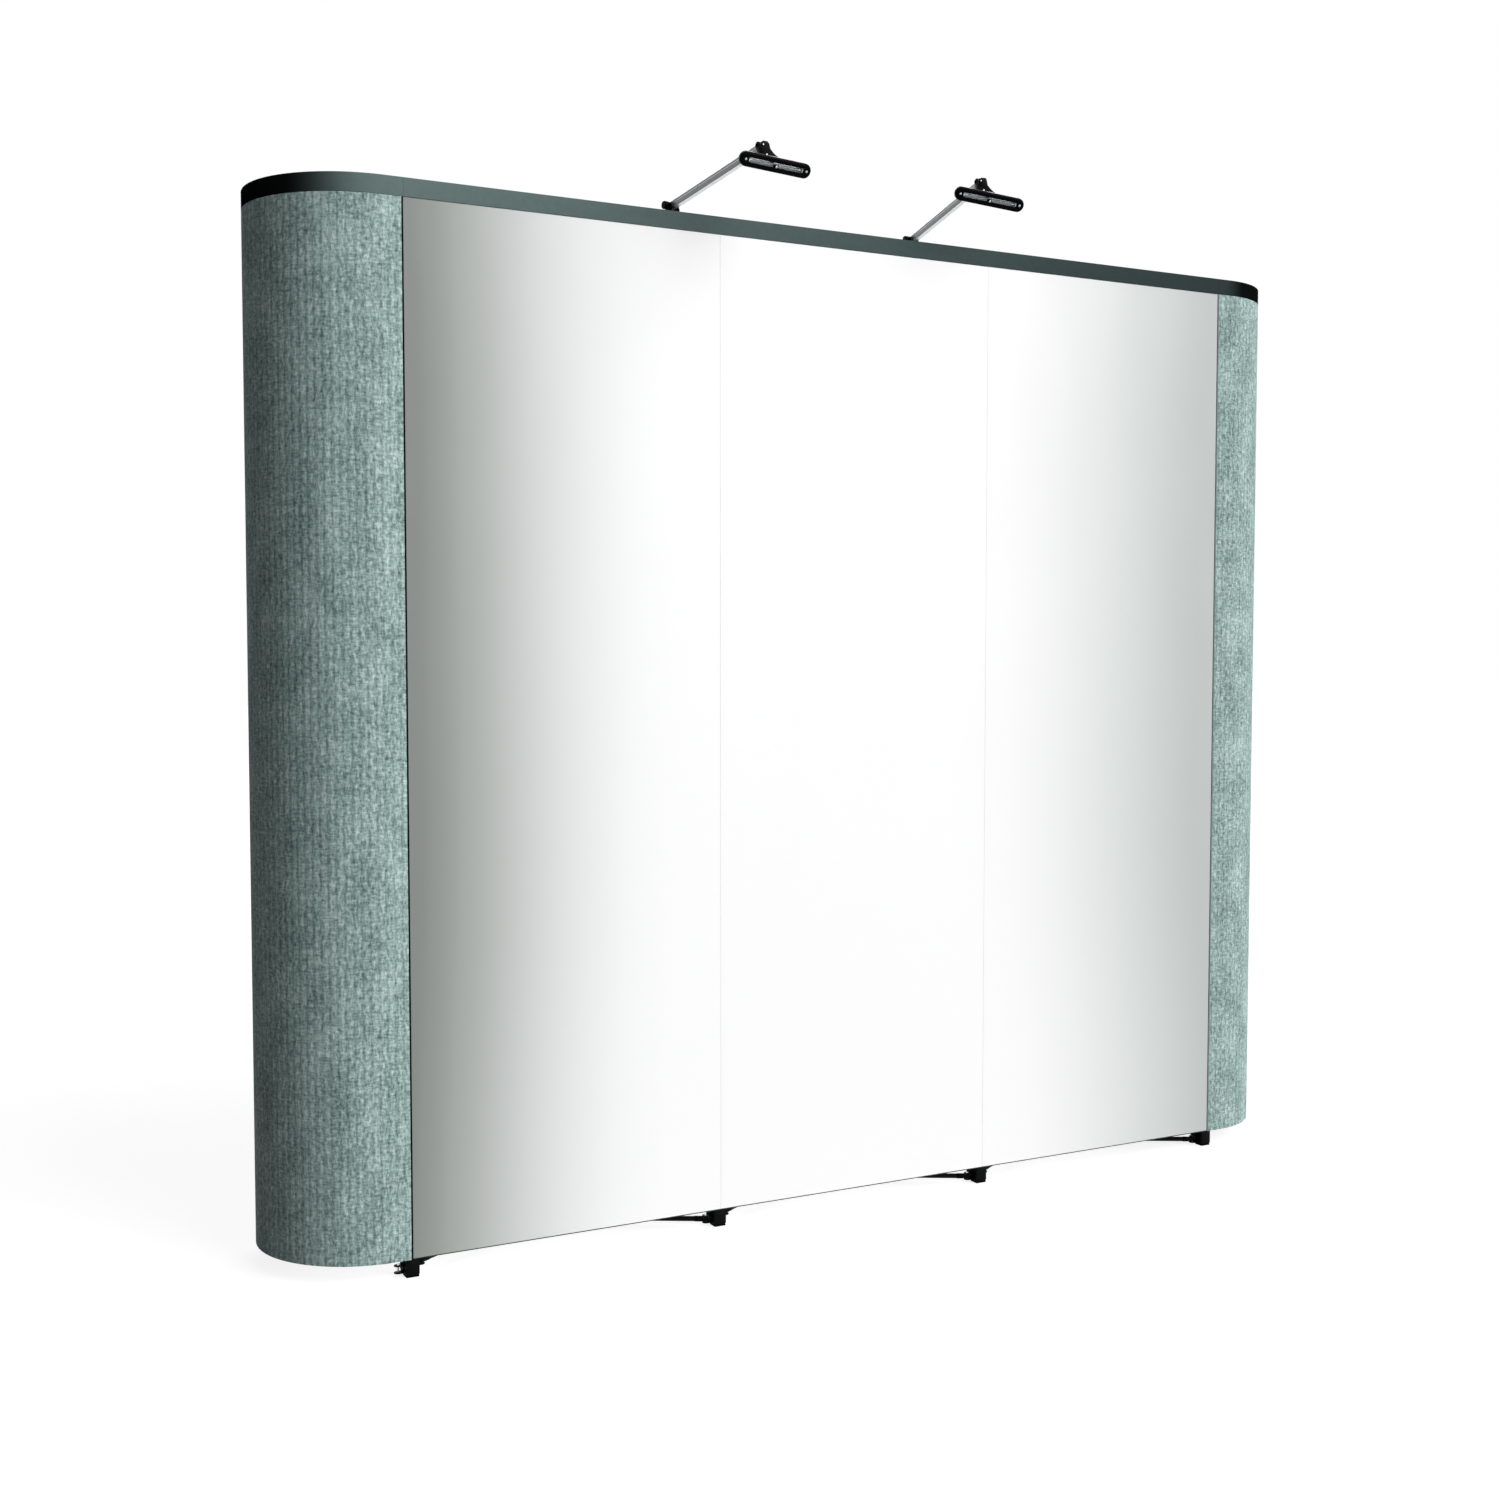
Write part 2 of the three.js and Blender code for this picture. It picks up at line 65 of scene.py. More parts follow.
CORE_THICKNESS = 0.0017
BEND_STEPS = 96
EDGE_TRIM = 0.0040
TRIM_BEVEL = 0.0003
RIB_PITCH = 0.0171
RIB_HEIGHT = 0.0004
RIB_POWER = 0.8
RIB_STEPS = 8
WOBBLE = 0.0006
WOBBLE_RATES = (9.0, 5.0)
SWELL_SHARE = 0.25
SWELL_RATE = 14.0
FABRIC_ROWS = 56
FABRIC_SMOOTH = 60
WEAVE_SHIFT = 0.35

# Sizes of the header caps

HEADER_FLANGE = 0.026
HEADER_WALL = 0.0025
HEADER_FACE = HEADER_WALL + 0.0007
HEADER_CORNER = 0.0022
HEADER_FOOT = 0.0008
TAB_WIDTH = 0.013
TAB_DEPTH = 0.0043
TAB_BEVEL = 0.0004

# Sizes of a hub. A table of pairs is a turned form, by radius and height.

HUB_SIZE = Vector((0.030, 0.038, 0.034))
HUB_CHAMFER = 0.004
HUB_BEVEL = 0.0012
HUB_INSET = 0.0266
BOTTOM_HUB = 0.021
BAND_HALF = 0.0016
BAND_PLACE_SHARE = 0.62
BAND_SHARES = (1.035, 1.03)
KEY_SIZE = Vector((0.022, 0.0055, 0.020))
KEY_ROOT = 0.002
BOSS = [(0, 0.0026), (0.0078, 0.0026), (0.0088, 0.0016), (0.0092, -0.001), (0, -0.001)]
HUB_SCREW = 0.0042
EAR_ROOT = 0.002
EAR_BEVEL = 0.0005
LUG_REACH = 0.019
LUG_WIDTH = 0.018
LUG_THICKNESS = 0.0025
LUG_GAP = 0.0063
LUG_RIB_ROOT = 0.001
LUG_RIB_SIZE = Vector((0.004, 0.003, 0.0022))
PIVOT_REACH = 0.010
SOCKET_RISE = 0.014
SOCKET_DEPTH = 0.020
SOCKET_HALF = 0.008
SOCKET_GAP = 0.0053
SOCKET_SINK = 0.001
PIN_RADIUS = 0.0022
PIN_HEAD = 0.0036
PIN_HEAD_RISE = 0.0008
PIN_HEAD_SHARES = (0.8, 0.4)
SCREW_RISE_SHARE = 0.45
SCREW_SHARES = [(0, 0.35), (0.42, 0.35), (0.46, 1), (0.72, 0.94), (0.93, 0.55), (1, 0), (1, -1), (0, -1)]
FOOT_SIZE = Vector((0.030, 0.028, 0.042))
FOOT_INSET = 0.0008
FOOT_BEVEL = 0.0014
PAD_RISE = 0.005
PAD_INSET = 0.0008
PAD_GAP = 0.0006
NECK_INSET = 0.002
NECK_SINK = 0.001
NECK_RISE = 0.002
FOOT_RIB_RISE = 0.0006
FOOT_RIB_HALF = 0.001
FOOT_RIB_LOW = 0.003
FOOT_RIB_HIGH = 0.004
FOOT_RIB_SHARES = (-0.3, 0.0, 0.3)

# Sizes of a lattice tube

TUBE_RADIUS = 0.006
TUBE_OFFSET = 0.0062
EYE_SHARE = 0.98
EYE_HALF = 0.0048
EYE_NECK = 0.010
EYE_BEVEL = 0.0007
COLLAR = [(0, 0.006), (0.0052, 0.006), (0.0060, 0.0085), (0.0066, 0.0105), (0.0066, 0.026),
          (0.0060, 0.027), (0, 0.027)]
TUBE_ROOT = 0.022
RIVET = [(0, 0), (0.0058, 0), (0.0058, 0.0009), (0.0040, 0.0010), (0.0037, 0.0022),
         (0.0022, 0.0031), (0, 0.0034)]
RIVET_SINK = 0.0007

# Sizes of a lamp's rail, clamp, post and knuckle. An edge is cut off a rim, across and along.

RAIL_RADIUS = 0.007
RAIL_REACH = 0.0459
RAIL_CAP = [(0, 0), (0.0092, 0), (0.0099, 0.001), (0.0099, 0.013), (0.0092, 0.014), (0, 0.014)]
CLAMP_SIZE = Vector((0.026, 0.034, 0.026))
CLAMP_BEVEL = 0.0025
SLOT_PROUD = 0.0003
SLOT_SHARE = 0.7
SLOT_HALF = 0.0006
THUMB_SCREW = [(0, 0), (0.003, 0), (0.003, 0.010), (0.0085, 0.010), (0.0095, 0.012),
               (0.0095, 0.019), (0.0085, 0.021), (0, 0.021)]
POST_EDGE = (0.0005, 0.0005)
POST_SLEEVE = [(0, 0.010), (0.0105, 0.010), (0.0105, 0.024), (0.0092, 0.027), (0, 0.027)]
KNUCKLE_DROP = 0.01375
KNUCKLE_DISC = 0.008
KNUCKLE_RADIUS = 0.017
KNUCKLE_EDGE = (0.001, 0.001)
KNUCKLE_LENGTH = 0.030
KNUCKLE_RISE = 0.009
KNUCKLE_SCREW = 0.0050
CHEEK = 0.004
CHEEK_ROOT = 0.001
CHEEK_SHOULDER = 0.004
CHEEK_CROWN = 0.009
CHEEK_BEVEL = 0.0008
KNOB = [(0, 0), (0.0045, 0), (0.0045, 0.0015), (0.0088, 0.0015), (0.0098, 0.003),
        (0.0098, 0.010), (0.0086, 0.012), (0, 0.012)]

# Sizes of a lamp's arm, fin and web

ARM_LENGTH = 0.408
ARM_WIDTH = 0.016
ARM_HEIGHT = 0.018
ARM_TIP = 0.010
ARM_CHAMFER = 0.0022
ARM_END_INSET = 0.003
GROOVE_HALF = 0.0022
GROOVE_DEPTH = 0.0011
GROOVE_SLOPE = 0.0006
PLUG_SHARE = 0.97
PLUG_LENGTH = 0.004
PLUG_BEVEL = 0.0006
SLEEVE_SHARE = 1.02
SLEEVE_END = 0.011
SLEEVE_BEVEL = 0.0008
FIN_THICKNESS = 0.008
FIN_RADIUS = 0.008
FIN_SEAT_HALF = 0.008
FIN_BEVEL = 0.0016
FIN_SCREW = 0.0046
FIN_CORNER_INSET = 0.003
NUT = [(0, 0), (0.0052, 0), (0.0052, 0.0028), (0.0044, 0.0036), (0, 0.0036)]
WEB_THICKNESS = 0.005
WEB_SET = 0.01495
WEB_INSET = 0.0004
WEB_BEVEL = 0.0014
WEB_TOP = 0.004
WEB_TOP_REACH = 0.003
WEB_NECK = Vector((0.007, -0.008))
WEB_FOOT = Vector((0.030, -0.023))
WEB_LOW = -0.035
WEB_STEPS = 8
WEB_SAG = Vector((-0.00088, -0.001328))
SMALL_SCREW = 0.0022
LARGE_SCREW = 0.0025
WEB_SCREWS = [(-0.012, -0.002, SMALL_SCREW), (-0.0023, -0.0225, LARGE_SCREW),
              (0.0262, -0.0258, SMALL_SCREW)]

# Sizes of a lamp head, which is made with its mouth up

HEAD_FORWARD = 0.046
HEAD_DOWN = 0.048
HEAD_AIM = math.radians(25)
HEAD_SIZE = Vector((0.178, 0.032, 0.028))
HEAD_BEVEL = 0.005
HEAD_SIDE = 0.008
HEAD_BACK = Vector((0.130, 0.018))
HEAD_BACK_SHARES = (0.9, 0.6)
HEAD_STEPS = 16
DOME_STEPS = 8
RIM_STEPS = 5
HEAD_SCREW = 0.0028
HEAD_SCREW_REACH = 0.0078
HEAD_SCREW_SINK = 0.0004
TROUGH_SIZE = Vector((0.138, 0.012, 0.014))
LIP_STEP = 0.001
LIP_RADIUS = 0.004
LIP_SINK = 0.0002
BEZEL_LIP = 0.0012
BEZEL_DEPTH = 0.0018
MOUTH_RADIUS = 0.003
MOUTH_SINK = 0.0006
BORE_RADIUS = 0.0006
GLAND_SHARE = 0.55
GLAND = [(0, -0.002), (0.005, -0.002), (0.005, 0.0025), (0.00425, 0.003), (0.00425, 0.0065),
         (0.00375, 0.007), (0.00175, 0.007), (0.00175, 0.004), (0, 0.004)]
MIRROR_WALL = 0.001
MIRROR_END = 0.002
MIRROR_SINK = 0.0002
CLIP_HALF = 0.005
CLIP_REACH = 0.0062
CLIP_DROP = 0.0045
CLIP_PROUD = 0.0008
CLIP_BEVEL = 0.0011
CLIP_RIVET = [(0, 0), (0.0027, 0), (0.0027, 0.0008), (0.0020, 0.0014), (0, 0.0016)]
CLIP_RIVET_INSET = 0.0027
CLIP_RIVET_SEAT = 0.0006
BULB_CAP = 0.009
BULB_END = [(0, 0), (0.00225, 0), (0.0025, 0.0006), (0.0025, 0.009), (0.0020, 0.0098), (0, 0.0098)]
GLASS_RADIUS = 0.00225
GLASS_EDGE = (0.0001, 0.003)

# Sizes of the print, the cloth, the grain of surfaces and the painted shade round the right end of the
# header

FADE_FOOT = 0.9
FADE_HEAD = 0.45
BOTTOM_SHADOW_LINE = 0.0022
TAPE_WIDTH = 0.013
KNOT_PITCH = 0.0085
KNOT_SHIFT = 7.31
FABRIC_RELIEF = 0.0012
FINE_RELIEF = 0.0002
PEEL_RELIEF = 0.0003
# Where the painted shade round the right end of the header begins and becomes full, from the end of its
# straight part
RIGHT_TURN_SHADE_START = -0.026
RIGHT_TURN_SHADE_END = 0.052

# The lamps: the column whose rail carries each, and how it is turned at rest, in degrees

LAMPS = {
    1: {"column": 1, "yaw": 3.2, "lift": 6.6, "roll": 2.6},
    2: {"column": 2, "yaw": -9.4, "lift": 7.3, "roll": 6.4},
}
JOINTS = {joint["name"]: joint for joint in frame["joints"]}

# The floor, the light and the camera, with angles in degrees

FLOOR_HALF = 40.0
WHITE = (1.0, 1.0, 1.0, 1.0)
FLOOR_SHADE = (0.25, 0.25, 0.25, 1.0)
FLOOR_SEEN = (0.30, 0.30, 0.30, 1.0)
FLOOR_GLOW = 0.84
WORLD_LIGHT = 0.065
WORLD_SEEN = 1.0
LIGHTS = {
    "key": {"azimuth": 35.0, "height": 26.0, "strength": 3.79, "softness": 56.0},
    "back": {"azimuth": 148.0, "height": 32.0, "strength": 1.6, "softness": 50.0},
}
CAMERA_FROM_CORNER = Vector((-1.2224, -3.7542, 1.2936))
CAMERA_YAW = 28.469
CAMERA_PITCH = -3.0937
SENSOR = 36.0
FOCAL_SHARE = 1858 / 1500

# Where the wall stands, as the solids have it

MURAL_LOW, MURAL_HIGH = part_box("mural_1")
LEFT = MURAL_LOW.x - SEAM_GAP / 2
RIGHT = LEFT + MURAL_COUNT * QUAD
SEAT = MURAL_LOW.y + MURAL_THICKNESS
PANEL_LOW = MURAL_LOW.z
PANEL_HIGH = MURAL_HIGH.z
HEADER_LOW = PANEL_HIGH + SEAT_GAP
HEADER_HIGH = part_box("header_straight")[1].z
BEND_RADIUS = WALL_DEPTH / 2
BEND_MIDDLE = SEAT + SEAT_DEPTH / 2
WALL_FRONT = BEND_MIDDLE - BEND_RADIUS
WALL_BACK = BEND_MIDDLE + BEND_RADIUS
END_RUN = END_STRAIGHT - SEAM_GAP / 2
BEND_RUN = math.pi * BEND_RADIUS
END_LENGTH = 2 * END_RUN + BEND_RUN

# How edges are rounded and shaded

SHARP_ANGLE = math.radians(25)
SMOOTH_ANGLE = 35
ROUND_PROFILE = 0.5


# Outlines and profiles

def arc(middle, radius, start, end, steps):
    """Points of an arc, with its angles in degrees."""
    angles = [math.radians(start + (end - start) * i / steps) for i in range(steps + 1)]
    return [(middle[0] + radius * math.cos(a), middle[1] + radius * math.sin(a)) for a in angles]


def chamfered(x, z, cut):
    """A rectangle of half sizes x and z with its corners cut off."""
    return [(-x + cut, -z), (x - cut, -z), (x, -z + cut), (x, z - cut), (x - cut, z), (-x + cut, z),
            (-x, z - cut), (-x, -z + cut)]


def widened(outline, across, up):
    return [(a * across, b * up) for a, b in outline]


def rod(radius, low, high, low_edge=None, high_edge=None):
    """The profile of a rod from low to high, each rim sharp or with its edge cut off."""
    profile = [(0, low)]
    if low_edge:
        profile.append((radius - low_edge[0], low))
    profile.append((radius, low + low_edge[1] if low_edge else low))
    profile.append((radius, high - high_edge[1] if high_edge else high))
    if high_edge:
        profile.append((radius - high_edge[0], high))
    return profile + [(0, high)]


# Forms, each a pair of points and faces

def joined_rings(rings):
    """A closed form through rings that all have the same number of points."""
    count = len(rings[0])
    points = [point for ring in rings for point in ring]
    last = len(points) - count
    faces = [list(range(count)), [last + i for i in reversed(range(count))]]
    for start in range(0, last, count):
        for i in range(start, start + count):
            j = start + (i + 1 - start) % count
            faces.append((i, i + count, j + count, j))
    return points, faces


def block(low, high):
    points = [(x, y, z) for x in (low[0], high[0]) for y in (low[1], high[1]) for z in (low[2], high[2])]
    faces = [(0, 1, 3, 2), (4, 6, 7, 5), (0, 4, 5, 1), (2, 3, 7, 6), (0, 2, 6, 4), (1, 5, 7, 3)]
    return points, faces


def prism(outline, low, high, axis):
    """An outline given thickness along an axis: x takes (y, z), y takes (x, z), z takes (x, y)."""
    place = "xyz".index(axis)
    rings = []
    for level in (low, high):
        rings.append([(*point[:place], level, *point[place:]) for point in outline])
    return joined_rings(rings)


def turned(profile, sides):
    """A profile of (radius, height) turned about Z, closed where the radius is zero."""
    points, rings = [], []
    for radius, height in profile:
        if not radius:
            rings.append([len(points)])
            points.append((0, 0, height))
            continue
        rings.append(list(range(len(points), len(points) + sides)))
        for i in range(sides):
            angle = 2 * math.pi * i / sides
            points.append((radius * math.cos(angle), radius * math.sin(angle), height))
    faces = []
    for a, b in zip(rings, rings[1:]):
        for i in range(sides):
            j = (i + 1) % sides
            if len(a) == 1:
                faces.append((a[0], b[j], b[i]))
            elif len(b) == 1:
                faces.append((a[i], a[j], b[0]))
            else:
                faces.append((a[i], a[j], b[j], b[i]))
    return points, faces


def strip(places, outer, inner, levels):
    """A closed strip along a path. outer and inner give how far it lies outside the path, from
    its length so far and its height; levels are the heights of its rows."""
    points, faces = [], []
    count = len(places)
    for z in levels:
        for depth in (outer, inner):
            for point, normal, run in places:
                points.append((*(point + normal * depth(run, z)), z))
    row = 2 * count
    last = (len(levels) - 1) * row
    for base in range(0, last, row):
        for i in range(base, base + count - 1):
            j = i + count
            faces.append((i, i + 1, i + row + 1, i + row))
            faces.append((j + 1, j, j + row, j + row + 1))
        for i in (base, base + count - 1):
            faces.append((i, i + row, i + row + count, i + count))
    for i in range(count - 1):
        j = last + i
        faces.append((i, i + count, i + count + 1, i + 1))
        faces.append((j, j + 1, j + count + 1, j + count))
    return points, faces


def bevelled(form, width, segments):
    """Rounds every sharp edge of a closed form, where a width is given."""
    if not width:
        return form
    points, faces = form
    solid = bmesh.new()
    corners = [solid.verts.new(p) for p in points]
    for face in faces:
        solid.faces.new([corners[i] for i in face])
    bmesh.ops.recalc_face_normals(solid, faces=solid.faces)
    sharp = [e for e in solid.edges if e.calc_face_angle(0) > SHARP_ANGLE]
    bmesh.ops.bevel(solid, geom=sharp, offset=width, segments=segments, affect="EDGES",
                    profile=ROUND_PROFILE, clamp_overlap=True)
    solid.verts.index_update()
    rounded = [v.co.copy() for v in solid.verts], [[v.index for v in f.verts] for f in solid.faces]
    solid.free()
    return rounded


class Shape:
    """Gathers forms into one mesh, and keeps the number of the finish of each face."""

    def __init__(self):
        self.points = []
        self.faces = []
        self.finishes = []

    def add(self, form, finish=0, place=Matrix()):
        points, faces = form
        start = len(self.points)
        self.points += [place @ Vector(p) for p in points]
        self.faces += [[start + i for i in face] for face in faces]
        self.finishes += [finish] * len(faces)

    def merge(self, other, place):
        start = len(self.points)
        self.points += [place @ p for p in other.points]
        self.faces += [[start + i for i in face] for face in other.faces]
        self.finishes += other.finishes

    def block(self, corner, opposite, bevel=0, segments=2, finish=0):
        low = [min(pair) for pair in zip(corner, opposite)]
        high = [max(pair) for pair in zip(corner, opposite)]
        self.add(bevelled(block(low, high), bevel, segments), finish)

    def prism(self, outline, near, far, axis, bevel=0, segments=2, finish=0):
        form = prism(outline, min(near, far), max(near, far), axis)
        self.add(bevelled(form, bevel, segments), finish)

    def turned(self, profile, start, way, sides, finish=0):
        """A profile turned about the line that leaves start along way."""
        aim = Vector(way).to_track_quat("Z", "X").to_matrix().to_4x4()
        self.add(turned(profile, sides), finish, Matrix.Translation(start) @ aim)


def make_piece(name, shape, finishes, body, replaces=(), place=Matrix(), smooth=SMOOTH_ANGLE):
    mesh = bpy.data.meshes.new(name)
    mesh.from_pydata([place @ point for point in shape.points], [], shape.faces)
    for finish in finishes:
        mesh.materials.append(finish)
    mesh.polygons.foreach_set("material_index", shape.finishes)
    form = bmesh.new()
    form.from_mesh(mesh)
    bmesh.ops.recalc_face_normals(form, faces=form.faces)
    form.to_mesh(mesh)
    form.free()
    mesh.shade_smooth()
    mesh.set_sharp_from_angle(angle=math.radians(smooth))
    item = bpy.data.objects.new(name, mesh)
    bpy.context.scene.collection.objects.link(item)
    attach(item, body)
    if replaces:
        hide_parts(*replaces)
    return item


# Materials. Most of a noise lies between the two shares.

NOISE_SHARES = (0.3, 0.7)


def join(tree, value, socket):
    """Gives a socket its value, or links it to an output."""
    if hasattr(value, "is_output"):
        tree.links.new(value, socket)
    else:
        socket.default_value = value


def add_node(tree, kind, inputs):
    """Adds a node, with a value or an output for each of the sockets in inputs."""
    node = tree.nodes.new(kind)
    for socket, value in inputs.items():
        join(tree, value, node.inputs[socket])
    return node


class Finish:
    """A small builder of node materials. The values are those of the shader's own sockets."""

    def __init__(self, name, **values):
        self.material = bpy.data.materials.new(name)
        self.material.use_nodes = True
        self.tree = self.material.node_tree
        self.tree.nodes.clear()
        self.shader = self.add("ShaderNodeBsdfPrincipled", {})
        self.add("ShaderNodeOutputMaterial", {0: self.shader.outputs[0]})
        self.position = self.add("ShaderNodeTexCoord", {}).outputs["Object"]
        for socket, value in values.items():
            self.shader.inputs[socket.replace("_", " ")].default_value = value

    def add(self, kind, inputs):
        return add_node(self.tree, kind, inputs)

    def math(self, kind, a, b=0.0):
        node = self.add("ShaderNodeMath", {0: a, 1: b})
        node.operation = kind
        return node.outputs[0]

    def total(self, value, *others):
        for other in others:
            value = self.math("ADD", value, other)
        return value

    def times(self, value, factor):
        return self.math("MULTIPLY", value, factor)

    def scaled(self, vector, scale):
        node = self.add("ShaderNodeVectorMath", {0: vector, 1: scale})
        node.operation = "MULTIPLY"
        return node.outputs[0]

    def axis(self, vector, name):
        return self.add("ShaderNodeSeparateXYZ", {0: vector}).outputs[name]

    def grain(self, vector, scale, detail=3.0, roughness=0.55):
        inputs = {"Vector": vector, "Scale": scale, "Detail": detail, "Roughness": roughness}
        return self.add("ShaderNodeTexNoise", inputs).outputs["Fac"]

    def span(self, value, low, high, to_low=0.0, to_high=1.0, smooth=False):
        node = self.add("ShaderNodeMapRange", {0: value, 1: low, 2: high, 3: to_low, 4: to_high})
        node.interpolation_type = "SMOOTHSTEP" if smooth else "LINEAR"
        return node.outputs[0]

    def spread(self, value, low, high):
        """A noise, spread from low to high."""
        return self.span(value, *NOISE_SHARES, low, high)

    def mixed(self, share, first, second, kind="MIX"):
        node = self.add("ShaderNodeMix", {"Factor": share})
        node.data_type = "RGBA"
        node.blend_type = kind
        colours = [s for s in node.inputs if s.type == "RGBA"]
        for value, socket in zip((first, second), colours):
            join(self.tree, value if hasattr(value, "is_output") else (*value, 1.0), socket)
        return [s for s in node.outputs if s.type == "RGBA"][0]

    def ramp(self, value, stops, ease="LINEAR"):
        node = self.add("ShaderNodeValToRGB", {0: value})
        node.color_ramp.interpolation = ease
        elements = node.color_ramp.elements
        while len(elements) < len(stops):
            elements.new(0.5)
        for element, (place, colour) in zip(elements, stops):
            element.position = place
            element.color = (*colour, 1.0)
        return node.outputs[0]

    def facing(self, name):
        return self.axis(self.add("ShaderNodeNewGeometry", {}).outputs["True Normal"], name)

    def colour(self, value):
        join(self.tree, value, self.shader.inputs["Base Color"])

    def roughness(self, value):
        join(self.tree, value, self.shader.inputs["Roughness"])

    def bump(self, height, strength, distance=FINE_RELIEF):
        inputs = {"Strength": strength, "Distance": distance, "Height": height}
        node = self.add("ShaderNodeBump", inputs)
        join(self.tree, node.outputs[0], self.shader.inputs["Normal"])


def shaded(colour, factor):
    return tuple(min(1.0, factor * part) for part in colour)


# The print of the murals

LEFT_SHIFT_SHARES = (0.018, 0.004, 0.008)
RIGHT_SHIFT_SHARES = (0.038, 0.015, 0.026)
LEFT_PRINT_SHARES = [
    (0.000, (0.213, 0.227, 0.218)), (0.014, (0.236, 0.253, 0.239)), (0.045, (0.327, 0.351, 0.328)),
    (0.090, (0.490, 0.512, 0.500)), (0.136, (0.664, 0.690, 0.682)), (0.181, (0.800, 0.820, 0.814)),
    (0.226, (0.908, 0.912, 0.910)), (0.280, (0.955, 0.955, 0.955)),
]
RIGHT_PRINT_SHARES = [
    (0.64, (1.0, 1.0, 1.0)), (0.72, (0.975, 0.975, 0.975)), (0.77, (0.910, 0.910, 0.910)),
    (0.815, (0.840, 0.850, 0.846)), (0.86, (0.745, 0.775, 0.764)), (0.905, (0.665, 0.695, 0.683)),
    (0.95, (0.590, 0.620, 0.612)), (1.0, (0.500, 0.530, 0.520)),
]


def fade_shift(f, z, shares):
    """How far the fade at one end of the wall is moved, more near the foot and near the head.
    The third share is taken off at every height."""
    foot_share, head_share, middle_share = shares
    foot = f.span(z, PANEL_LOW, PANEL_LOW + FADE_FOOT, foot_share, 0.0, smooth=True)
    head = f.span(z, PANEL_HIGH - FADE_HEAD, PANEL_HIGH, 0.0, head_share, smooth=True)
    return f.math("SUBTRACT", f.math("ADD", foot, head), middle_share)


def mural_front(f, share, z):
    """A plain warm grey that fades to white and back, with a thin dark line at the bottom that stands for
    the film's edge and a painted shadow.
    """
    left = f.math("ADD", share, fade_shift(f, z, LEFT_SHIFT_SHARES))
    right = f.math("SUBTRACT", share, fade_shift(f, z, RIGHT_SHIFT_SHARES))
    left_end = f.ramp(left, LEFT_PRINT_SHARES, "B_SPLINE")
    right_end = f.ramp(right, RIGHT_PRINT_SHARES, "B_SPLINE")
    colour = f.mixed(1.0, left_end, right_end, "MULTIPLY")
    fleck = f.spread(f.grain(f.position, 900.0, 2.0), 0.0, 0.018)
    colour = f.mixed(fleck, colour, (0.5, 0.5, 0.5))
    # A painted shadow line along the bottom edge, standing also for the film's edge
    line = f.math("LESS_THAN", z, PANEL_LOW + BOTTOM_SHADOW_LINE)
    return f.mixed(line, colour, (0.012, 0.013, 0.014))


def mural_backing(f, share):
    """Grey scrim, with black magnet tape along both upright edges of each mural."""
    panel = f.math("PINGPONG", f.times(share, float(MURAL_COUNT)), 0.5)
    tape = f.math("LESS_THAN", panel, TAPE_WIDTH * MURAL_COUNT / (RIGHT - LEFT))
    scrim = f.mixed(f.grain(f.position, 14.0, 4.0), (0.42, 0.43, 0.43), (0.52, 0.53, 0.53))
    return f.mixed(tape, scrim, (0.035, 0.030, 0.028))


def mural_film():
    """Printed film with a satin surface, grey at its edges."""
    f = Finish("mural_film", Specular_IOR_Level=0.25)
    share = f.span(f.axis(f.position, "X"), LEFT, RIGHT)
    front = mural_front(f, share, f.axis(f.position, "Z"))
    behind = f.math("GREATER_THAN", f.facing("Y"), 0.5)
    edge = f.math("LESS_THAN", f.math("ABSOLUTE", f.facing("Y")), 0.5)
    colour = f.mixed(behind, front, mural_backing(f, share))
    f.colour(f.mixed(edge, colour, (0.10, 0.105, 0.11)))
    smear = f.grain(f.scaled(f.position, (1.0, 1.0, 0.35)), 9.0, 4.0)
    f.roughness(f.spread(smear, 0.44, 0.56))
    f.bump(f.grain(f.position, 420.0, 2.0), 0.05)
    return f.material


# The fabric

FABRIC_SHARES = [
    (0.05, (0.085, 0.130, 0.122)), (0.30, (0.185, 0.272, 0.256)), (0.52, (0.305, 0.420, 0.400)),
    (0.75, (0.480, 0.610, 0.585)), (0.95, (0.620, 0.740, 0.715)),
]


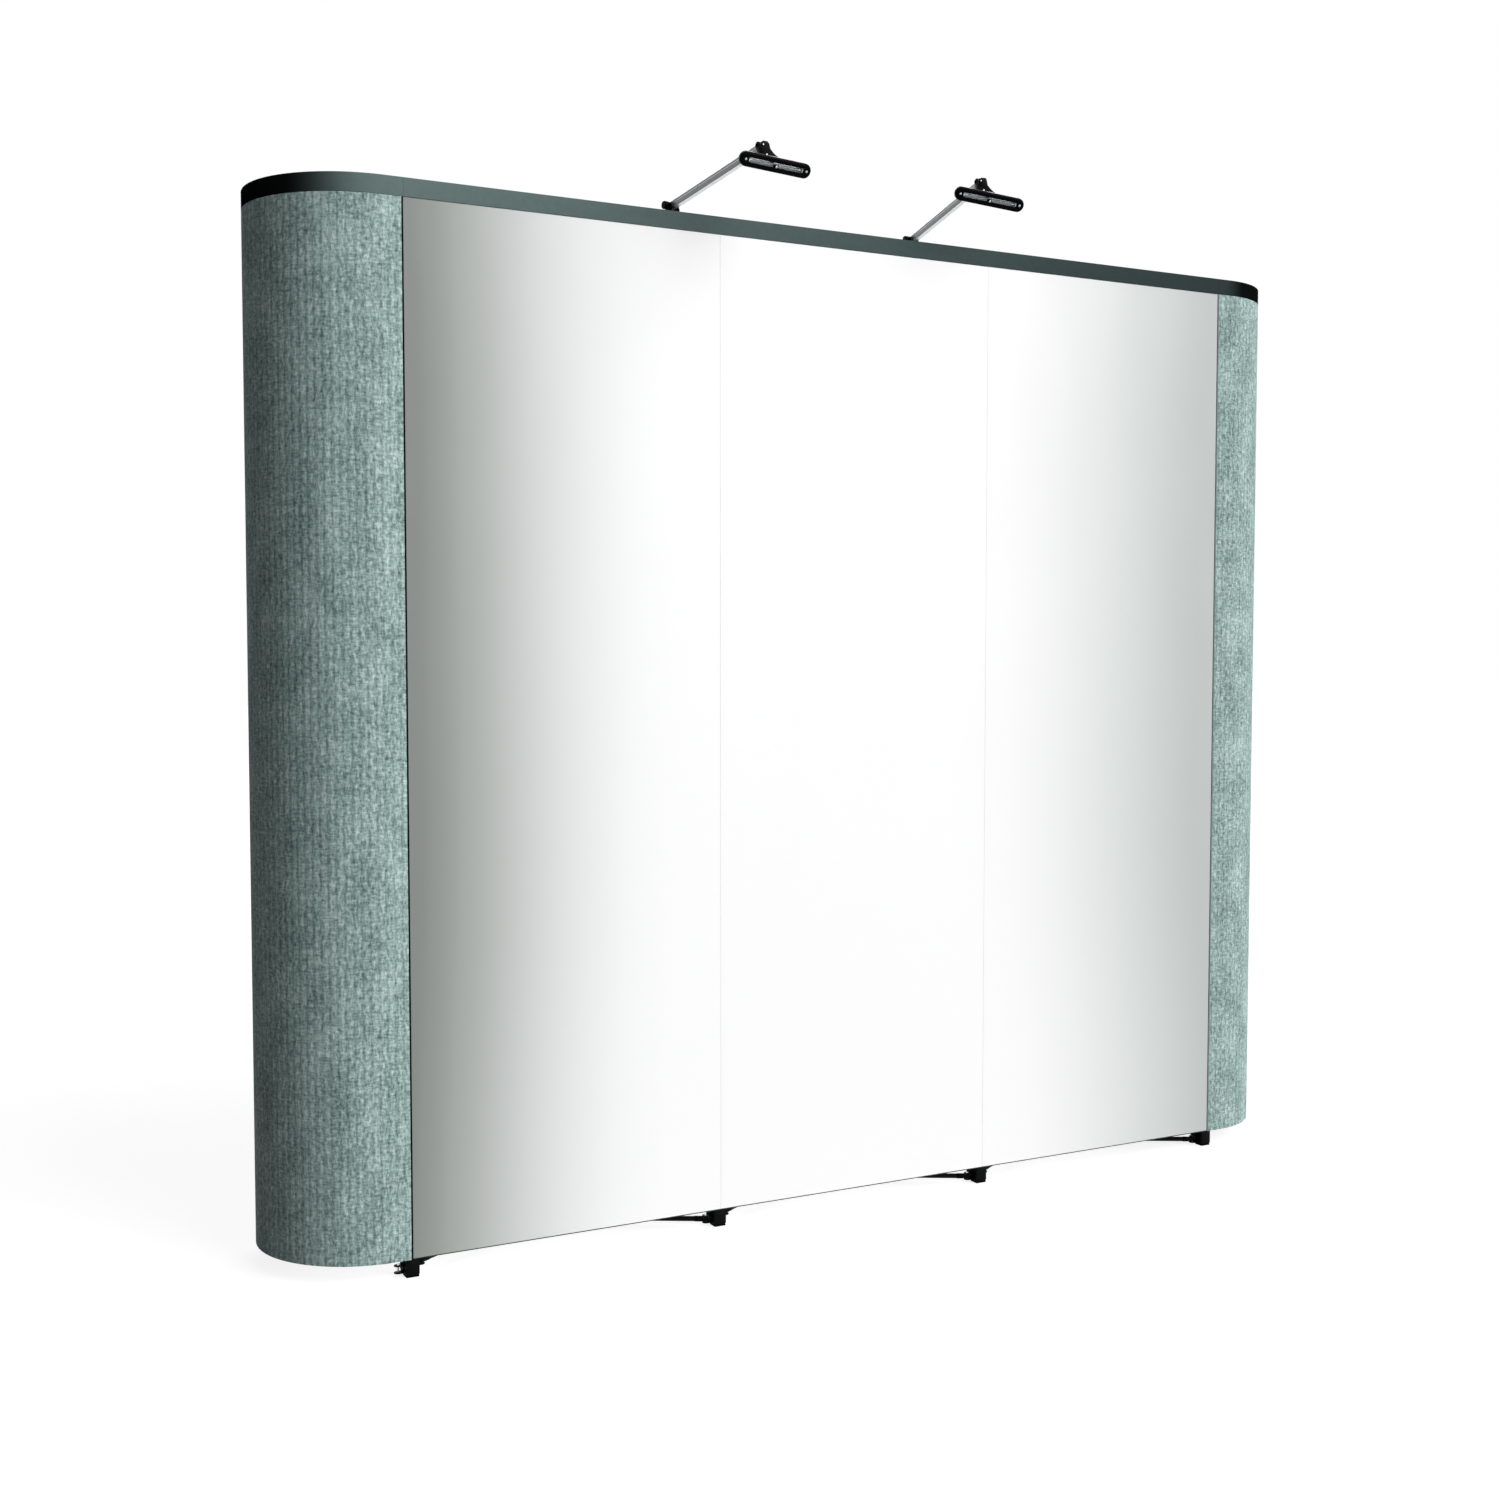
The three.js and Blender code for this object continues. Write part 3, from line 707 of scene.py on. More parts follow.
def ribbed_fabric():
    """Teal grey heathered loop fabric. The attribute weave holds the place on the flat cloth:
    across the ribs, and up them."""
    f = Finish("ribbed_fabric", Sheen_Weight=0.12, Sheen_Roughness=0.6, Specular_IOR_Level=0.12)
    weave = f.add("ShaderNodeAttribute", {})
    weave.attribute_name = "weave"
    place = weave.outputs["Vector"]
    phase = f.math("DIVIDE", f.axis(place, "X"), RIB_PITCH)
    crest = f.math("SINE", f.times(f.math("FRACT", phase), math.pi))
    rib = f.times(f.math("FLOOR", phase), KNOT_SHIFT)
    knot = f.math("DIVIDE", f.axis(place, "Y"), KNOT_PITCH)
    knots = f.grain(f.add("ShaderNodeCombineXYZ", {0: rib, 1: knot}).outputs[0], 1.0, 2.0, 0.6)
    slubs = f.grain(f.scaled(place, (185.0, 62.0, 1.0)), 1.0, 2.0, 0.6)
    picks = f.grain(f.scaled(place, (78.0, 200.0, 1.0)), 1.0, 2.0, 0.6)
    threads = f.grain(f.scaled(place, (330.0, 260.0, 1.0)), 1.0, 2.0, 0.6)
    clouds = f.grain(f.scaled(place, (16.0, 9.0, 1.0)), 1.0, 3.0, 0.5)
    bead = f.times(f.span(knots, 0.32, 0.68), f.math("POWER", crest, 1.4))
    height = f.total(f.times(crest, 0.12), f.times(bead, 0.40), f.spread(slubs, 0.0, 0.30),
                     f.spread(picks, 0.0, 0.18), f.times(threads, 0.22))
    tone = f.total(f.times(bead, 0.18), f.times(crest, 0.03), f.spread(slubs, 0.0, 0.50),
                   f.spread(picks, 0.0, 0.34), f.spread(threads, 0.0, 0.16), f.spread(clouds, -0.23, 0.03))
    f.colour(f.ramp(tone, FABRIC_SHARES))
    f.roughness(f.spread(slubs, 0.84, 0.96))
    f.bump(height, 0.55, FABRIC_RELIEF)
    return f.material


# The header

# Painted light on the header: these tones along the wall are a painted reflection, and the near black is
# painted shade round both ends, also used for a faint random mottle
HEADER_PAINTED_LIGHT_SHARES = [
    (0.0, (0.131, 0.184, 0.179)), (0.25, (0.102, 0.144, 0.138)), (0.5, (0.075, 0.107, 0.103)),
    (0.75, (0.048, 0.070, 0.068)), (1.0, (0.034, 0.049, 0.048)),
]
HEADER_SHADE_AND_MOTTLE_BLACK = (0.0035, 0.0042, 0.0040)
PAINTED_SHADE_SHARE = 0.985
LEFT_TURN_SHADE_SHARES = (0.80, 0.18)


def header_plastic():
    """Dark satin laminate with painted light: a painted reflection, lightest at the left seam and darker
    towards the right, and painted shade nearly black round both ends.
    """
    f = Finish("header_plastic", Specular_IOR_Level=0.0)
    x = f.axis(f.position, "X")
    left, right = LEFT - END_STRAIGHT, RIGHT + END_STRAIGHT
    # Painted shade round the left and the right turn, laid over the painted reflection along the wall
    dark, clear = (left - share * BEND_RADIUS for share in LEFT_TURN_SHADE_SHARES)
    left_turn_shade = f.span(x, dark, clear, PAINTED_SHADE_SHARE, 0.0, smooth=True)
    right_turn_shade = f.span(x, right + RIGHT_TURN_SHADE_START, right + RIGHT_TURN_SHADE_END, 0.0, PAINTED_SHADE_SHARE, smooth=True)
    tone = f.mixed(left_turn_shade, f.ramp(f.span(x, LEFT, RIGHT), HEADER_PAINTED_LIGHT_SHARES), HEADER_SHADE_AND_MOTTLE_BLACK)
    tone = f.mixed(right_turn_shade, tone, HEADER_SHADE_AND_MOTTLE_BLACK)
    f.colour(f.mixed(f.spread(f.grain(f.position, 60.0, 4.0), 0.0, 0.10), tone, HEADER_SHADE_AND_MOTTLE_BLACK))
    scuff = f.grain(f.scaled(f.position, (1.0, 1.0, 6.0)), 24.0, 5.0)
    f.roughness(f.spread(scuff, 0.42, 0.58))
    f.bump(f.grain(f.position, 1400.0, 2.0), 0.10)
    return f.material


# The frame and the lamps

def moulded(name, colour, worn, level=0.08, rough=(0.42, 0.62), scale=1600.0):
    """Moulded plastic or rubber: a fine grain, slight patches and paler worn spots."""
    f = Finish(name, Specular_IOR_Level=level)
    patches = f.grain(f.position, 38.0, 5.0)
    wear = f.span(f.grain(f.position, 160.0, 4.0, 0.7), 0.60, 0.72)
    base = f.mixed(patches, shaded(colour, 0.75), shaded(colour, 1.25))
    f.colour(f.mixed(f.times(wear, 0.5), base, worn))
    f.roughness(f.spread(patches, *rough))
    f.bump(f.grain(f.position, scale, 2.0), 0.18)
    return f.material


def drawn_metal(name, colour, stretch, rough, metallic=1.0, level=0.5, streak=0.25):
    """Drawn or brushed metal, with fine lines along the long way of the piece."""
    f = Finish(name, Metallic=metallic, Specular_IOR_Level=level)
    lines = f.grain(f.scaled(f.position, stretch), 1.0, 3.0, 0.6)
    base = f.mixed(lines, shaded(colour, 1 - streak), shaded(colour, 1 + streak))
    patches = f.span(f.grain(f.position, 45.0, 4.0), 0.35, 0.7, 0.0, 0.2)
    f.colour(f.mixed(patches, base, shaded(colour, 0.6)))
    f.roughness(f.spread(lines, *rough))
    f.bump(lines, 0.12)
    return f.material


def arm_metal():
    """Drawn aluminium with painted light: a painted reflection leaves it bright on top and below, and
    painted shade makes its two sides grey.
    """
    f = Finish("lamp_arm_aluminium", Metallic=0.7, Specular_IOR_Level=0.4)
    lines = f.grain(f.scaled(f.position, (600.0, 14.0, 600.0)), 1.0, 3.0, 0.6)
    # Painted shade on the two sides and a painted reflection on top and below, chosen by the way each face
    # looks
    side = f.math("GREATER_THAN", f.math("ABSOLUTE", f.facing("X")), 0.5)
    bright = f.mixed(lines, (0.84, 0.85, 0.87), (0.95, 0.96, 0.97))
    grey = f.mixed(lines, (0.17, 0.175, 0.18), (0.26, 0.265, 0.27))
    f.colour(f.mixed(side, bright, grey))
    f.roughness(f.spread(lines, 0.26, 0.42))
    f.bump(lines, 0.12)
    return f.material


def gloss_black():
    """Smooth black plastic, with a faint orange peel."""
    f = Finish("lamp_gloss_black", Specular_IOR_Level=0.02)
    haze = f.grain(f.position, 70.0, 5.0)
    f.colour(f.mixed(haze, (0.0010, 0.0010, 0.0012), (0.0030, 0.0030, 0.0034)))
    f.roughness(f.spread(haze, 0.20, 0.34))
    f.bump(f.grain(f.position, 240.0, 2.0), 0.03, PEEL_RELIEF)
    return f.material


def bulb_glass():
    """Frosted glass over a pale coating."""
    f = Finish("lamp_glass", Transmission_Weight=0.12, IOR=1.45, Specular_IOR_Level=0.4)
    frost = f.grain(f.position, 220.0, 3.0)
    f.colour(f.mixed(frost, (0.54, 0.56, 0.56), (0.62, 0.64, 0.64)))
    f.roughness(f.spread(frost, 0.12, 0.30))
    f.bump(frost, 0.04)
    return f.material


MURAL = mural_film()
FABRIC = ribbed_fabric()
HEADER = header_plastic()
CORE = moulded("panel_core", (0.012, 0.012, 0.013), (0.05, 0.05, 0.05), rough=(0.5, 0.7), scale=700.0)
HUB = moulded("hub_nylon", (0.0030, 0.0034, 0.0034), (0.012, 0.013, 0.013), 0.03)
RUBBER = moulded("foot_rubber", (0.0030, 0.0030, 0.0030), (0.010, 0.010, 0.010), 0.02, (0.75, 0.92), 900.0)
TRIM = moulded("grey_trim", (0.20, 0.26, 0.25), (0.30, 0.36, 0.35), 0.05, (0.75, 0.92), 900.0)
BAR = drawn_metal("channel_bar_black", (0.020, 0.021, 0.023), (500.0, 500.0, 5.0), (0.34, 0.52), 0.4, 0.3)
TUBE = drawn_metal("tube_enamel", (0.0050, 0.0056, 0.0056), (160.0, 160.0, 40.0), (0.34, 0.50), 0.1, 0.07)
STEEL = drawn_metal("rivet_steel", (0.42, 0.43, 0.44), (400.0, 400.0, 400.0), (0.26, 0.44))
ARM = arm_metal()
GLOSS = gloss_black()
MIRROR = drawn_metal("lamp_reflector", (0.62, 0.66, 0.66), (60.0, 500.0, 500.0), (0.30, 0.50), streak=0.08)
GLASS = bulb_glass()
SLATE = moulded("lamp_slate", (0.046, 0.048, 0.066), (0.08, 0.084, 0.105), 0.08, (0.45, 0.65), 900.0)


def dress_nodes(finish, *names):
    for name in names:
        item = frame["nodes"][name]
        item.data.materials.clear()
        item.data.materials.append(finish)


dress_nodes(MURAL, *(f"mural_{number}" for number in range(1, MURAL_COUNT + 1)))
dress_nodes(BAR, *(f"front_channel_bar_{number}" for number in range(1, MURAL_COUNT + 2)))
dress_nodes(BAR, "rear_channel_bar_left", "rear_channel_bar_right")


# The bent ends

def place_on_path(side, run):
    """A place on the path round the outer face of an end, from its front seam to its rear
    seam: a point, the outward normal there and the length so far."""
    seam = LEFT if side < 0 else RIGHT
    if run < END_RUN:
        return Vector((seam + side * (SEAM_GAP / 2 + run), WALL_FRONT)), Vector((0, -1)), run
    if run > END_RUN + BEND_RUN:
        left_over = END_LENGTH - run
        return Vector((seam + side * (SEAM_GAP / 2 + left_over), WALL_BACK)), Vector((0, 1)), run
    angle = (run - END_RUN) / BEND_RADIUS - math.pi / 2
    normal = Vector((side * math.cos(angle), math.sin(angle)))
    middle = Vector((seam + side * END_STRAIGHT, BEND_MIDDLE))
    return middle + BEND_RADIUS * normal, normal, run


def end_path(side):
    bend = [END_RUN + BEND_RUN * i / BEND_STEPS for i in range(BEND_STEPS + 1)]
    runs = [0, END_RUN / 2, *bend, END_LENGTH - END_RUN / 2, END_LENGTH]
    return [place_on_path(side, run) for run in runs]


def rib_relief(run, z):
    """How far the cloth lies outside the path, rib by rib."""
    wobble = WOBBLE * noise.noise(Vector((run * WOBBLE_RATES[0], z * WOBBLE_RATES[1], 1.0)))
    phase = ((run + wobble) / RIB_PITCH) % 1.0
    swell = 1.0 + SWELL_SHARE * noise.noise(Vector((run / RIB_PITCH, z * SWELL_RATE, 4.0)))
    return RIB_HEIGHT * (abs(math.sin(math.pi * phase)) ** RIB_POWER) * swell - RIB_HEIGHT


def evenly(depth):
    """The same depth at every place of a strip."""
    return lambda run, z: depth


def add_end_core(name, side):
    """The flexible core, with a strip of trim along each of its upright edges."""
    core = Shape()
    face = evenly(CORE_THICKNESS - END_THICKNESS)
    core.add(strip(end_path(side), face, evenly(-END_THICKNESS), [PANEL_LOW, PANEL_HIGH]))
    near = (LEFT if side < 0 else RIGHT) + side * SEAM_GAP / 2
    far = near + side * EDGE_TRIM
    for outer, inner in ((WALL_FRONT, WALL_FRONT + END_THICKNESS), (WALL_BACK, WALL_BACK - END_THICKNESS)):
        finish = 2 if side > 0 and outer < inner else 1
        core.block((near, outer, PANEL_LOW), (far, inner, PANEL_HIGH), TRIM_BEVEL, 1, finish)
    make_piece(f"end_core_{name}", core, [CORE, RUBBER, TRIM], f"end_panel_{name}")


def add_end_fabric(name, side):
    """The ribbed cloth on the core, from trim to trim."""
    body = f"end_panel_{name}"
    width = END_LENGTH - 2 * EDGE_TRIM
    height = PANEL_HIGH - PANEL_LOW
    steps = round(END_LENGTH / RIB_PITCH) * RIB_STEPS
    runs = [EDGE_TRIM + width * i / steps for i in range(steps + 1)]
    rows = [PANEL_LOW + height * i / FABRIC_ROWS for i in range(FABRIC_ROWS + 1)]
    places = [place_on_path(side, run) for run in runs]
    cloth = Shape()
    cloth.add(strip(places, rib_relief, evenly(CORE_THICKNESS - END_THICKNESS), rows))
    piece = make_piece(f"end_fabric_{name}", cloth, [FABRIC], body, [body],
                       smooth=FABRIC_SMOOTH)
    weave = piece.data.attributes.new("weave", "FLOAT_VECTOR", "POINT")
    shift = WEAVE_SHIFT if side > 0 else 0.0
    values = [part for z in rows for _ in range(2) for run in runs for part in (run + shift, z, 0.0)]
    weave.data.foreach_set("vector", values)


# Header caps

def header_section():
    """An angle section with a rounded corner, of (inward, height) points."""
    under = HEADER_HIGH - HEADER_WALL
    corner = arc((HEADER_CORNER, HEADER_HIGH - HEADER_CORNER), HEADER_CORNER, 180, 90, 4)
    foot = [(HEADER_FOOT, HEADER_LOW), (0.0, HEADER_LOW + HEADER_FOOT)]
    lip = [(HEADER_FLANGE, HEADER_HIGH), (HEADER_FLANGE, under)]
    return foot + corner + lip + [(HEADER_FACE, under), (HEADER_FACE, HEADER_LOW)]


def led(places):
    """The section led along a path."""
    section = header_section()
    rings = []
    for point, normal, _ in places:
        rings.append([(*(point - normal * inward), z) for inward, z in section])
    return joined_rings(rings)


def header_tab(shape, column, side, rear):
    """A tab that reaches down inside the wall and keeps a cap on its bar."""
    edge = LEFT + column * QUAD + side * SEAM_GAP / 2
    outer = SEAT + (SEAT_DEPTH + END_THICKNESS / 2 if rear else -END_THICKNESS / 2)
    inner = SEAT + (SEAT_DEPTH - TAB_DEPTH if rear else TAB_DEPTH)
    bottom = PANEL_HIGH + BAR_RISE + SEAT_GAP
    top = HEADER_HIGH - HEADER_WALL / 2
    shape.block((edge, outer, bottom), (edge + side * TAB_WIDTH, inner, top), TAB_BEVEL, 1)


def add_straight_header():
    cap = Shape()
    ends = (LEFT + SEAM_GAP / 2, RIGHT - SEAM_GAP / 2)
    cap.add(led([(Vector((x, WALL_FRONT)), Vector((0, -1)), 0.0) for x in ends]))
    for bay in range(MURAL_COUNT):
        header_tab(cap, bay, 1, False)
        header_tab(cap, bay + 1, -1, False)
    body = "header_straight"
    make_piece("header_cap_straight", cap, [HEADER], body, [body])


def add_bent_header(name, side):
    cap = Shape()
    cap.add(led(end_path(side)))
    for rear in (False, True):
        header_tab(cap, 0 if side < 0 else MURAL_COUNT, side, rear)
    body = f"header_end_{name}"
    make_piece(f"header_cap_{name}", cap, [HEADER], body, [body])


# Hubs

def pin(shape, start, end):
    """A pin through a lug, with a flat head on both ends."""
    way = Vector(end) - Vector(start)
    length = way.length
    rim = PIN_HEAD * PIN_HEAD_SHARES[0]
    step = PIN_HEAD_RISE * PIN_HEAD_SHARES[1]
    profile = [
        (0, -PIN_HEAD_RISE), (rim, -PIN_HEAD_RISE), (PIN_HEAD, -step), (PIN_HEAD, 0), (PIN_RADIUS, 0),
        (PIN_RADIUS, length), (PIN_HEAD, length), (PIN_HEAD, length + step),
        (rim, length + PIN_HEAD_RISE), (0, length + PIN_HEAD_RISE),
    ]
    shape.turned(profile, start, way, 14, 2)


def screw(shape, place, way, radius, finish):
    """A domed screw head with a round socket."""
    shape.turned(widened(SCREW_SHARES, radius, radius * SCREW_RISE_SHARE), place, way, 14, finish)


def hub_lugs(shape, side, lift):
    """The upper and the lower lug of one side, each with a round end and a small rib."""
    edge = HUB_SIZE.x / 2
    half = LUG_WIDTH / 2
    root = side * (edge - EAR_ROOT)
    middle = (side * (edge + LUG_REACH - half), 0)
    start = -90 if side > 0 else 270
    outline = [(root, -half)] + arc(middle, half, start, 90, 8) + [(root, half)]
    rib = LUG_RIB_SIZE
    for way in (-1, 1):
        near = lift + way * LUG_GAP
        far = near + way * LUG_THICKNESS
        shape.prism(outline, near, far, "z", EAR_BEVEL, 1)
        corner = (side * (edge - LUG_RIB_ROOT), -rib.y / 2, far)
        shape.block(corner, (side * (edge + rib.x), rib.y / 2, far + way * rib.z))
    pivot = side * (edge + PIVOT_REACH)
    reach = LUG_GAP + LUG_THICKNESS
    pin(shape, (pivot, 0, lift - reach), (pivot, 0, lift + reach))


def hub_socket(shape, way, offset):
    """Two cheeks above or below the hub, with the pin of an upright tube between them."""
    half = SOCKET_DEPTH / 2
    root = way * (HUB_SIZE.z / 2 - EAR_ROOT)
    middle = way * (HUB_SIZE.z / 2 + SOCKET_RISE / 2)
    top = HUB_SIZE.z / 2 + SOCKET_RISE
    crown = arc((0, middle - way * SOCKET_SINK), half, 0, 180 * way, 8)
    outline = [(half, root)] + [(y, max(-top, min(z, top))) for y, z in crown] + [(-half, root)]
    for side in (-1, 1):
        shape.prism(outline, offset + side * SOCKET_GAP, offset + side * SOCKET_HALF, "x", EAR_BEVEL, 1)
    pin(shape, (offset - SOCKET_HALF, 0, middle), (offset + SOCKET_HALF, 0, middle))


def hub_foot(shape):
    """A block down to a rubber pad, with three ribs on each side."""
    outer = FOOT_INSET - HUB_INSET
    inner = outer + FOOT_SIZE.y
    x = FOOT_SIZE.x / 2
    floor = -BOTTOM_HUB
    pad = floor + PAD_RISE
    top = floor + FOOT_SIZE.z
    shape.block((-x, outer, pad + PAD_GAP), (x, inner, top), FOOT_BEVEL)
    edge = x - PAD_INSET
    shape.block((-edge, outer + PAD_INSET, floor), (edge, inner - PAD_INSET, pad), HUB_BEVEL, 2, 3)
    neck = x - NECK_INSET
    shape.block((-neck, outer + NECK_INSET, pad - NECK_SINK), (neck, inner - NECK_INSET, pad + NECK_RISE))
    for side in (-1, 1):
        for share in FOOT_RIB_SHARES:
            middle = (outer + inner) / 2 + share * FOOT_SIZE.y
            near = (side * x - FOOT_RIB_RISE, middle - FOOT_RIB_HALF, pad + FOOT_RIB_LOW)
            shape.block(near, (side * x + FOOT_RIB_RISE, middle + FOOT_RIB_HALF, top - FOOT_RIB_HIGH))


def hub_shape(offset, level):
    """A hub round its own centre, with its outer face towards -Y. Finish 0 is nylon, 1 enamel,
    2 steel and 3 rubber. offset is how far its upright tubes lie to one side."""
    shape = Shape()
    half = HUB_SIZE.y / 2
    outline = chamfered(HUB_SIZE.x / 2, HUB_SIZE.z / 2, HUB_CHAMFER)
    shape.prism(outline, -half, half, "y", HUB_BEVEL)
    for y in (-half * BAND_PLACE_SHARE, half * BAND_PLACE_SHARE):
        shape.prism(widened(outline, *BAND_SHARES), y - BAND_HALF, y + BAND_HALF, "y", EAR_BEVEL, 1)
    x, z = KEY_SIZE.x / 2, KEY_SIZE.z / 2
    shape.block((-x, -half - KEY_SIZE.y, -z), (x, -half + KEY_ROOT, z), HUB_BEVEL)
    shape.turned(BOSS, (0, half, 0), (0, 1, 0), 24)
    screw(shape, (0, half + BOSS[0][1], 0), (0, 1, 0), HUB_SCREW, 2)
    hub_lugs(shape, -1, -TUBE_OFFSET)
    hub_lugs(shape, 1, TUBE_OFFSET)
    if level > 0:
        hub_socket(shape, -1, offset)
    if level < ROWS:
        hub_socket(shape, 1, offset)
    if level == 0:
        hub_foot(shape)
    return shape


# Tubes

def lattice_tube(shape, start, end, flat):
    """A tube between two pivots: a flat eye round each pivot, a collar, and the enamelled tube.
    flat is the direction of the pivot pins."""
    flat = Vector(flat)
    run = (end - start).normalized()
    across = flat.cross(run).normalized()
    aim = Matrix((run, across, flat)).transposed().to_4x4()
    eye = TUBE_RADIUS * EYE_SHARE
    outline = arc((0, 0), eye, 90, 270, 8) + [(EYE_NECK, -eye), (EYE_NECK, eye)]
    for middle, way in ((start, 1), (end, -1)):
        form = Shape()
        form.prism(widened(outline, way, 1), -EYE_HALF, EYE_HALF, "z", EYE_BEVEL, 1)
        shape.merge(form, Matrix.Translation(middle) @ aim)
        shape.turned(COLLAR, middle, run * way, 20)
    length = (end - start).length - 2 * TUBE_ROOT
    shape.turned(rod(TUBE_RADIUS, 0, length), start + run * TUBE_ROOT, run, 24, 1)


def crossing_rivet(shape, middle, outward):
    """A domed rivet and its washer on the outer side of a tube, where two tubes cross."""
    shape.turned(RIVET, middle + Vector(outward) * (TUBE_RADIUS - RIVET_SINK), outward, 18, 2)


def hub_y(rear):
    return SEAT + (SEAT_DEPTH - HUB_INSET if rear else HUB_INSET)


def add_chain(column, starts_rear):
    """The four hubs of one column, by turns in front and behind, and the tubes between them."""
    way = 1 if starts_rear else -1
    x = LEFT + column * QUAD
    rise = HUB_SIZE.z / 2 + SOCKET_RISE / 2
    chain = Shape()
    for level in range(ROWS + 1):
        rear = starts_rear == (level % 2 == 0)
        z = BOTTOM_HUB + level * QUAD
        facing = -1 if rear else 1
        place = Matrix.Translation((x, hub_y(rear), z)) @ Matrix.Diagonal((facing, facing, 1, 1))
        chain.merge(hub_shape(facing * way * TUBE_OFFSET, level), place)
        if level < ROWS:
            start = Vector((x + way * TUBE_OFFSET, hub_y(rear), z + rise))
            end = Vector((x + way * TUBE_OFFSET, hub_y(not rear), z + QUAD - rise))
            lattice_tube(chain, start, end, (1, 0, 0))
            crossing_rivet(chain, (start + end) / 2, (way, 0, 0))
    name = f"{column + 1}_{'b' if starts_rear else 'a'}"
    make_piece(f"hub_chain_{name}", chain, [HUB, TUBE, STEEL, RUBBER], "frame",
               [f"upright_chain_{name}"])


def add_level_tube(level, bay, front_on_left):
    side = HUB_SIZE.x / 2 + PIVOT_REACH
    way = 1 if front_on_left else -1
    z = BOTTOM_HUB + level * QUAD + way * TUBE_OFFSET
    start = Vector((LEFT + bay * QUAD + side, hub_y(not front_on_left), z))
    end = Vector((LEFT + (bay + 1) * QUAD - side, hub_y(front_on_left), z))
    tube = Shape()
    lattice_tube(tube, start, end, (0, 0, 1))
    crossing_rivet(tube, (start + end) / 2, (0, 0, way))
    name = f"{level + 1}_{bay + 1}_{'upper' if front_on_left else 'lower'}"
    make_piece(f"scissor_tube_{name}", tube, [HUB, TUBE, STEEL], "frame",
               [f"level_tube_{name}"])


# Lamps

def turn(angle, axis):
    return Matrix.Rotation(math.radians(angle), 4, axis)


def add_rail(number, base, post_top):
    """Rail, sliding clamp with a thumb screw, and post."""
    x = LEFT + LAMPS[number]["column"] * QUAD
    z = BOTTOM_HUB + ROWS * QUAD
    shape = Shape()
    length = SEAT_DEPTH - 2 * RAIL_REACH
    start = Vector((x, SEAT + RAIL_REACH, z))
    shape.turned(rod(RAIL_RADIUS, 0, length), start, (0, 1, 0), 28, 1)
    for run, way in ((0, 1), (length, -1)):
        shape.turned(RAIL_CAP, start + Vector((0, run, 0)), (0, way, 0), 28)
    half = CLAMP_SIZE / 2
    middle = Vector((x, base.y, z))
    shape.block(middle - half, middle + half, CLAMP_BEVEL, 3)
    slot = Vector((half.x + SLOT_PROUD, half.y * SLOT_SHARE, SLOT_HALF))
    shape.block(middle - slot, middle + slot, finish=1)
    shape.turned(THUMB_SCREW, middle + Vector((half.x, 0, 0)), (1, 0, 0), 12)
    shape.turned(rod(RAIL_RADIUS, 0, post_top - z, None, POST_EDGE), middle, (0, 0, 1), 28, 1)
    shape.turned(POST_SLEEVE, middle, (0, 0, 1), 28)
    make_piece(f"lamp_mount_{number}", shape, [HUB, TUBE], "frame", [f"lamp_rail_{number}"])


def add_knuckle(number, place):
    """A disc on the post, two cheeks round the arm, a knob on one side and a screw on the other."""
    shape = Shape()
    disc = rod(KNUCKLE_RADIUS, -KNUCKLE_DROP - KNUCKLE_DISC, -KNUCKLE_DROP, KNUCKLE_EDGE, KNUCKLE_EDGE)
    shape.add(turned(disc, 32), 2)
    near = ARM_WIDTH / 2 + SEAT_GAP
    far = near + CHEEK
    half = KNUCKLE_LENGTH / 2
    right = [(half, -KNUCKLE_DROP - CHEEK_ROOT), (half, -KNUCKLE_DROP + CHEEK_SHOULDER)]
    crown = arc((0, KNUCKLE_RISE - CHEEK_CROWN), CHEEK_CROWN, 0, 180, 8)
    outline = right + crown + widened(right[::-1], -1, 1)
    for side in (-1, 1):
        shape.prism(outline, side * near, side * far, "x", CHEEK_BEVEL)
    shape.turned(KNOB, (-far, 0, 0), (-1, 0, 0), 12)
    screw(shape, (far, 0, 0), (1, 0, 0), KNUCKLE_SCREW, 1)
    make_piece(f"lamp_clamp_{number}", shape, [GLOSS, STEEL, SLATE], f"lamp_{number}_knuckle",
               [f"lamp_knuckle_{number}"], place)


def add_arm(number, place):
    """A drawn bar with a groove along both sides, a black plug in one end and a sleeve on the tip."""
    x = ARM_WIDTH / 2
    corners = chamfered(x, ARM_HEIGHT / 2, ARM_CHAMFER)
    floor = GROOVE_HALF - GROOVE_SLOPE
    groove = [(x, -GROOVE_HALF), (x - GROOVE_DEPTH, -floor), (x - GROOVE_DEPTH, floor), (x, GROOVE_HALF)]
    outline = corners[:3] + groove + corners[3:7] + widened(groove, -1, -1) + corners[7:]
    tip = -ARM_LENGTH - ARM_TIP
    shape = Shape()
    shape.prism(outline, tip + ARM_END_INSET, ARM_TIP - ARM_END_INSET, "y")
    plug = widened(outline, PLUG_SHARE, PLUG_SHARE)
    shape.prism(plug, ARM_TIP - PLUG_LENGTH, ARM_TIP, "y", PLUG_BEVEL, 1, 1)
    sleeve = widened(corners, SLEEVE_SHARE, SLEEVE_SHARE)
    shape.prism(sleeve, tip, SLEEVE_END - ARM_LENGTH, "y", SLEEVE_BEVEL, 1, 1)
    make_piece(f"lamp_bar_{number}", shape, [ARM, HUB], f"lamp_{number}_arm",
               [f"lamp_arm_{number}"], place)


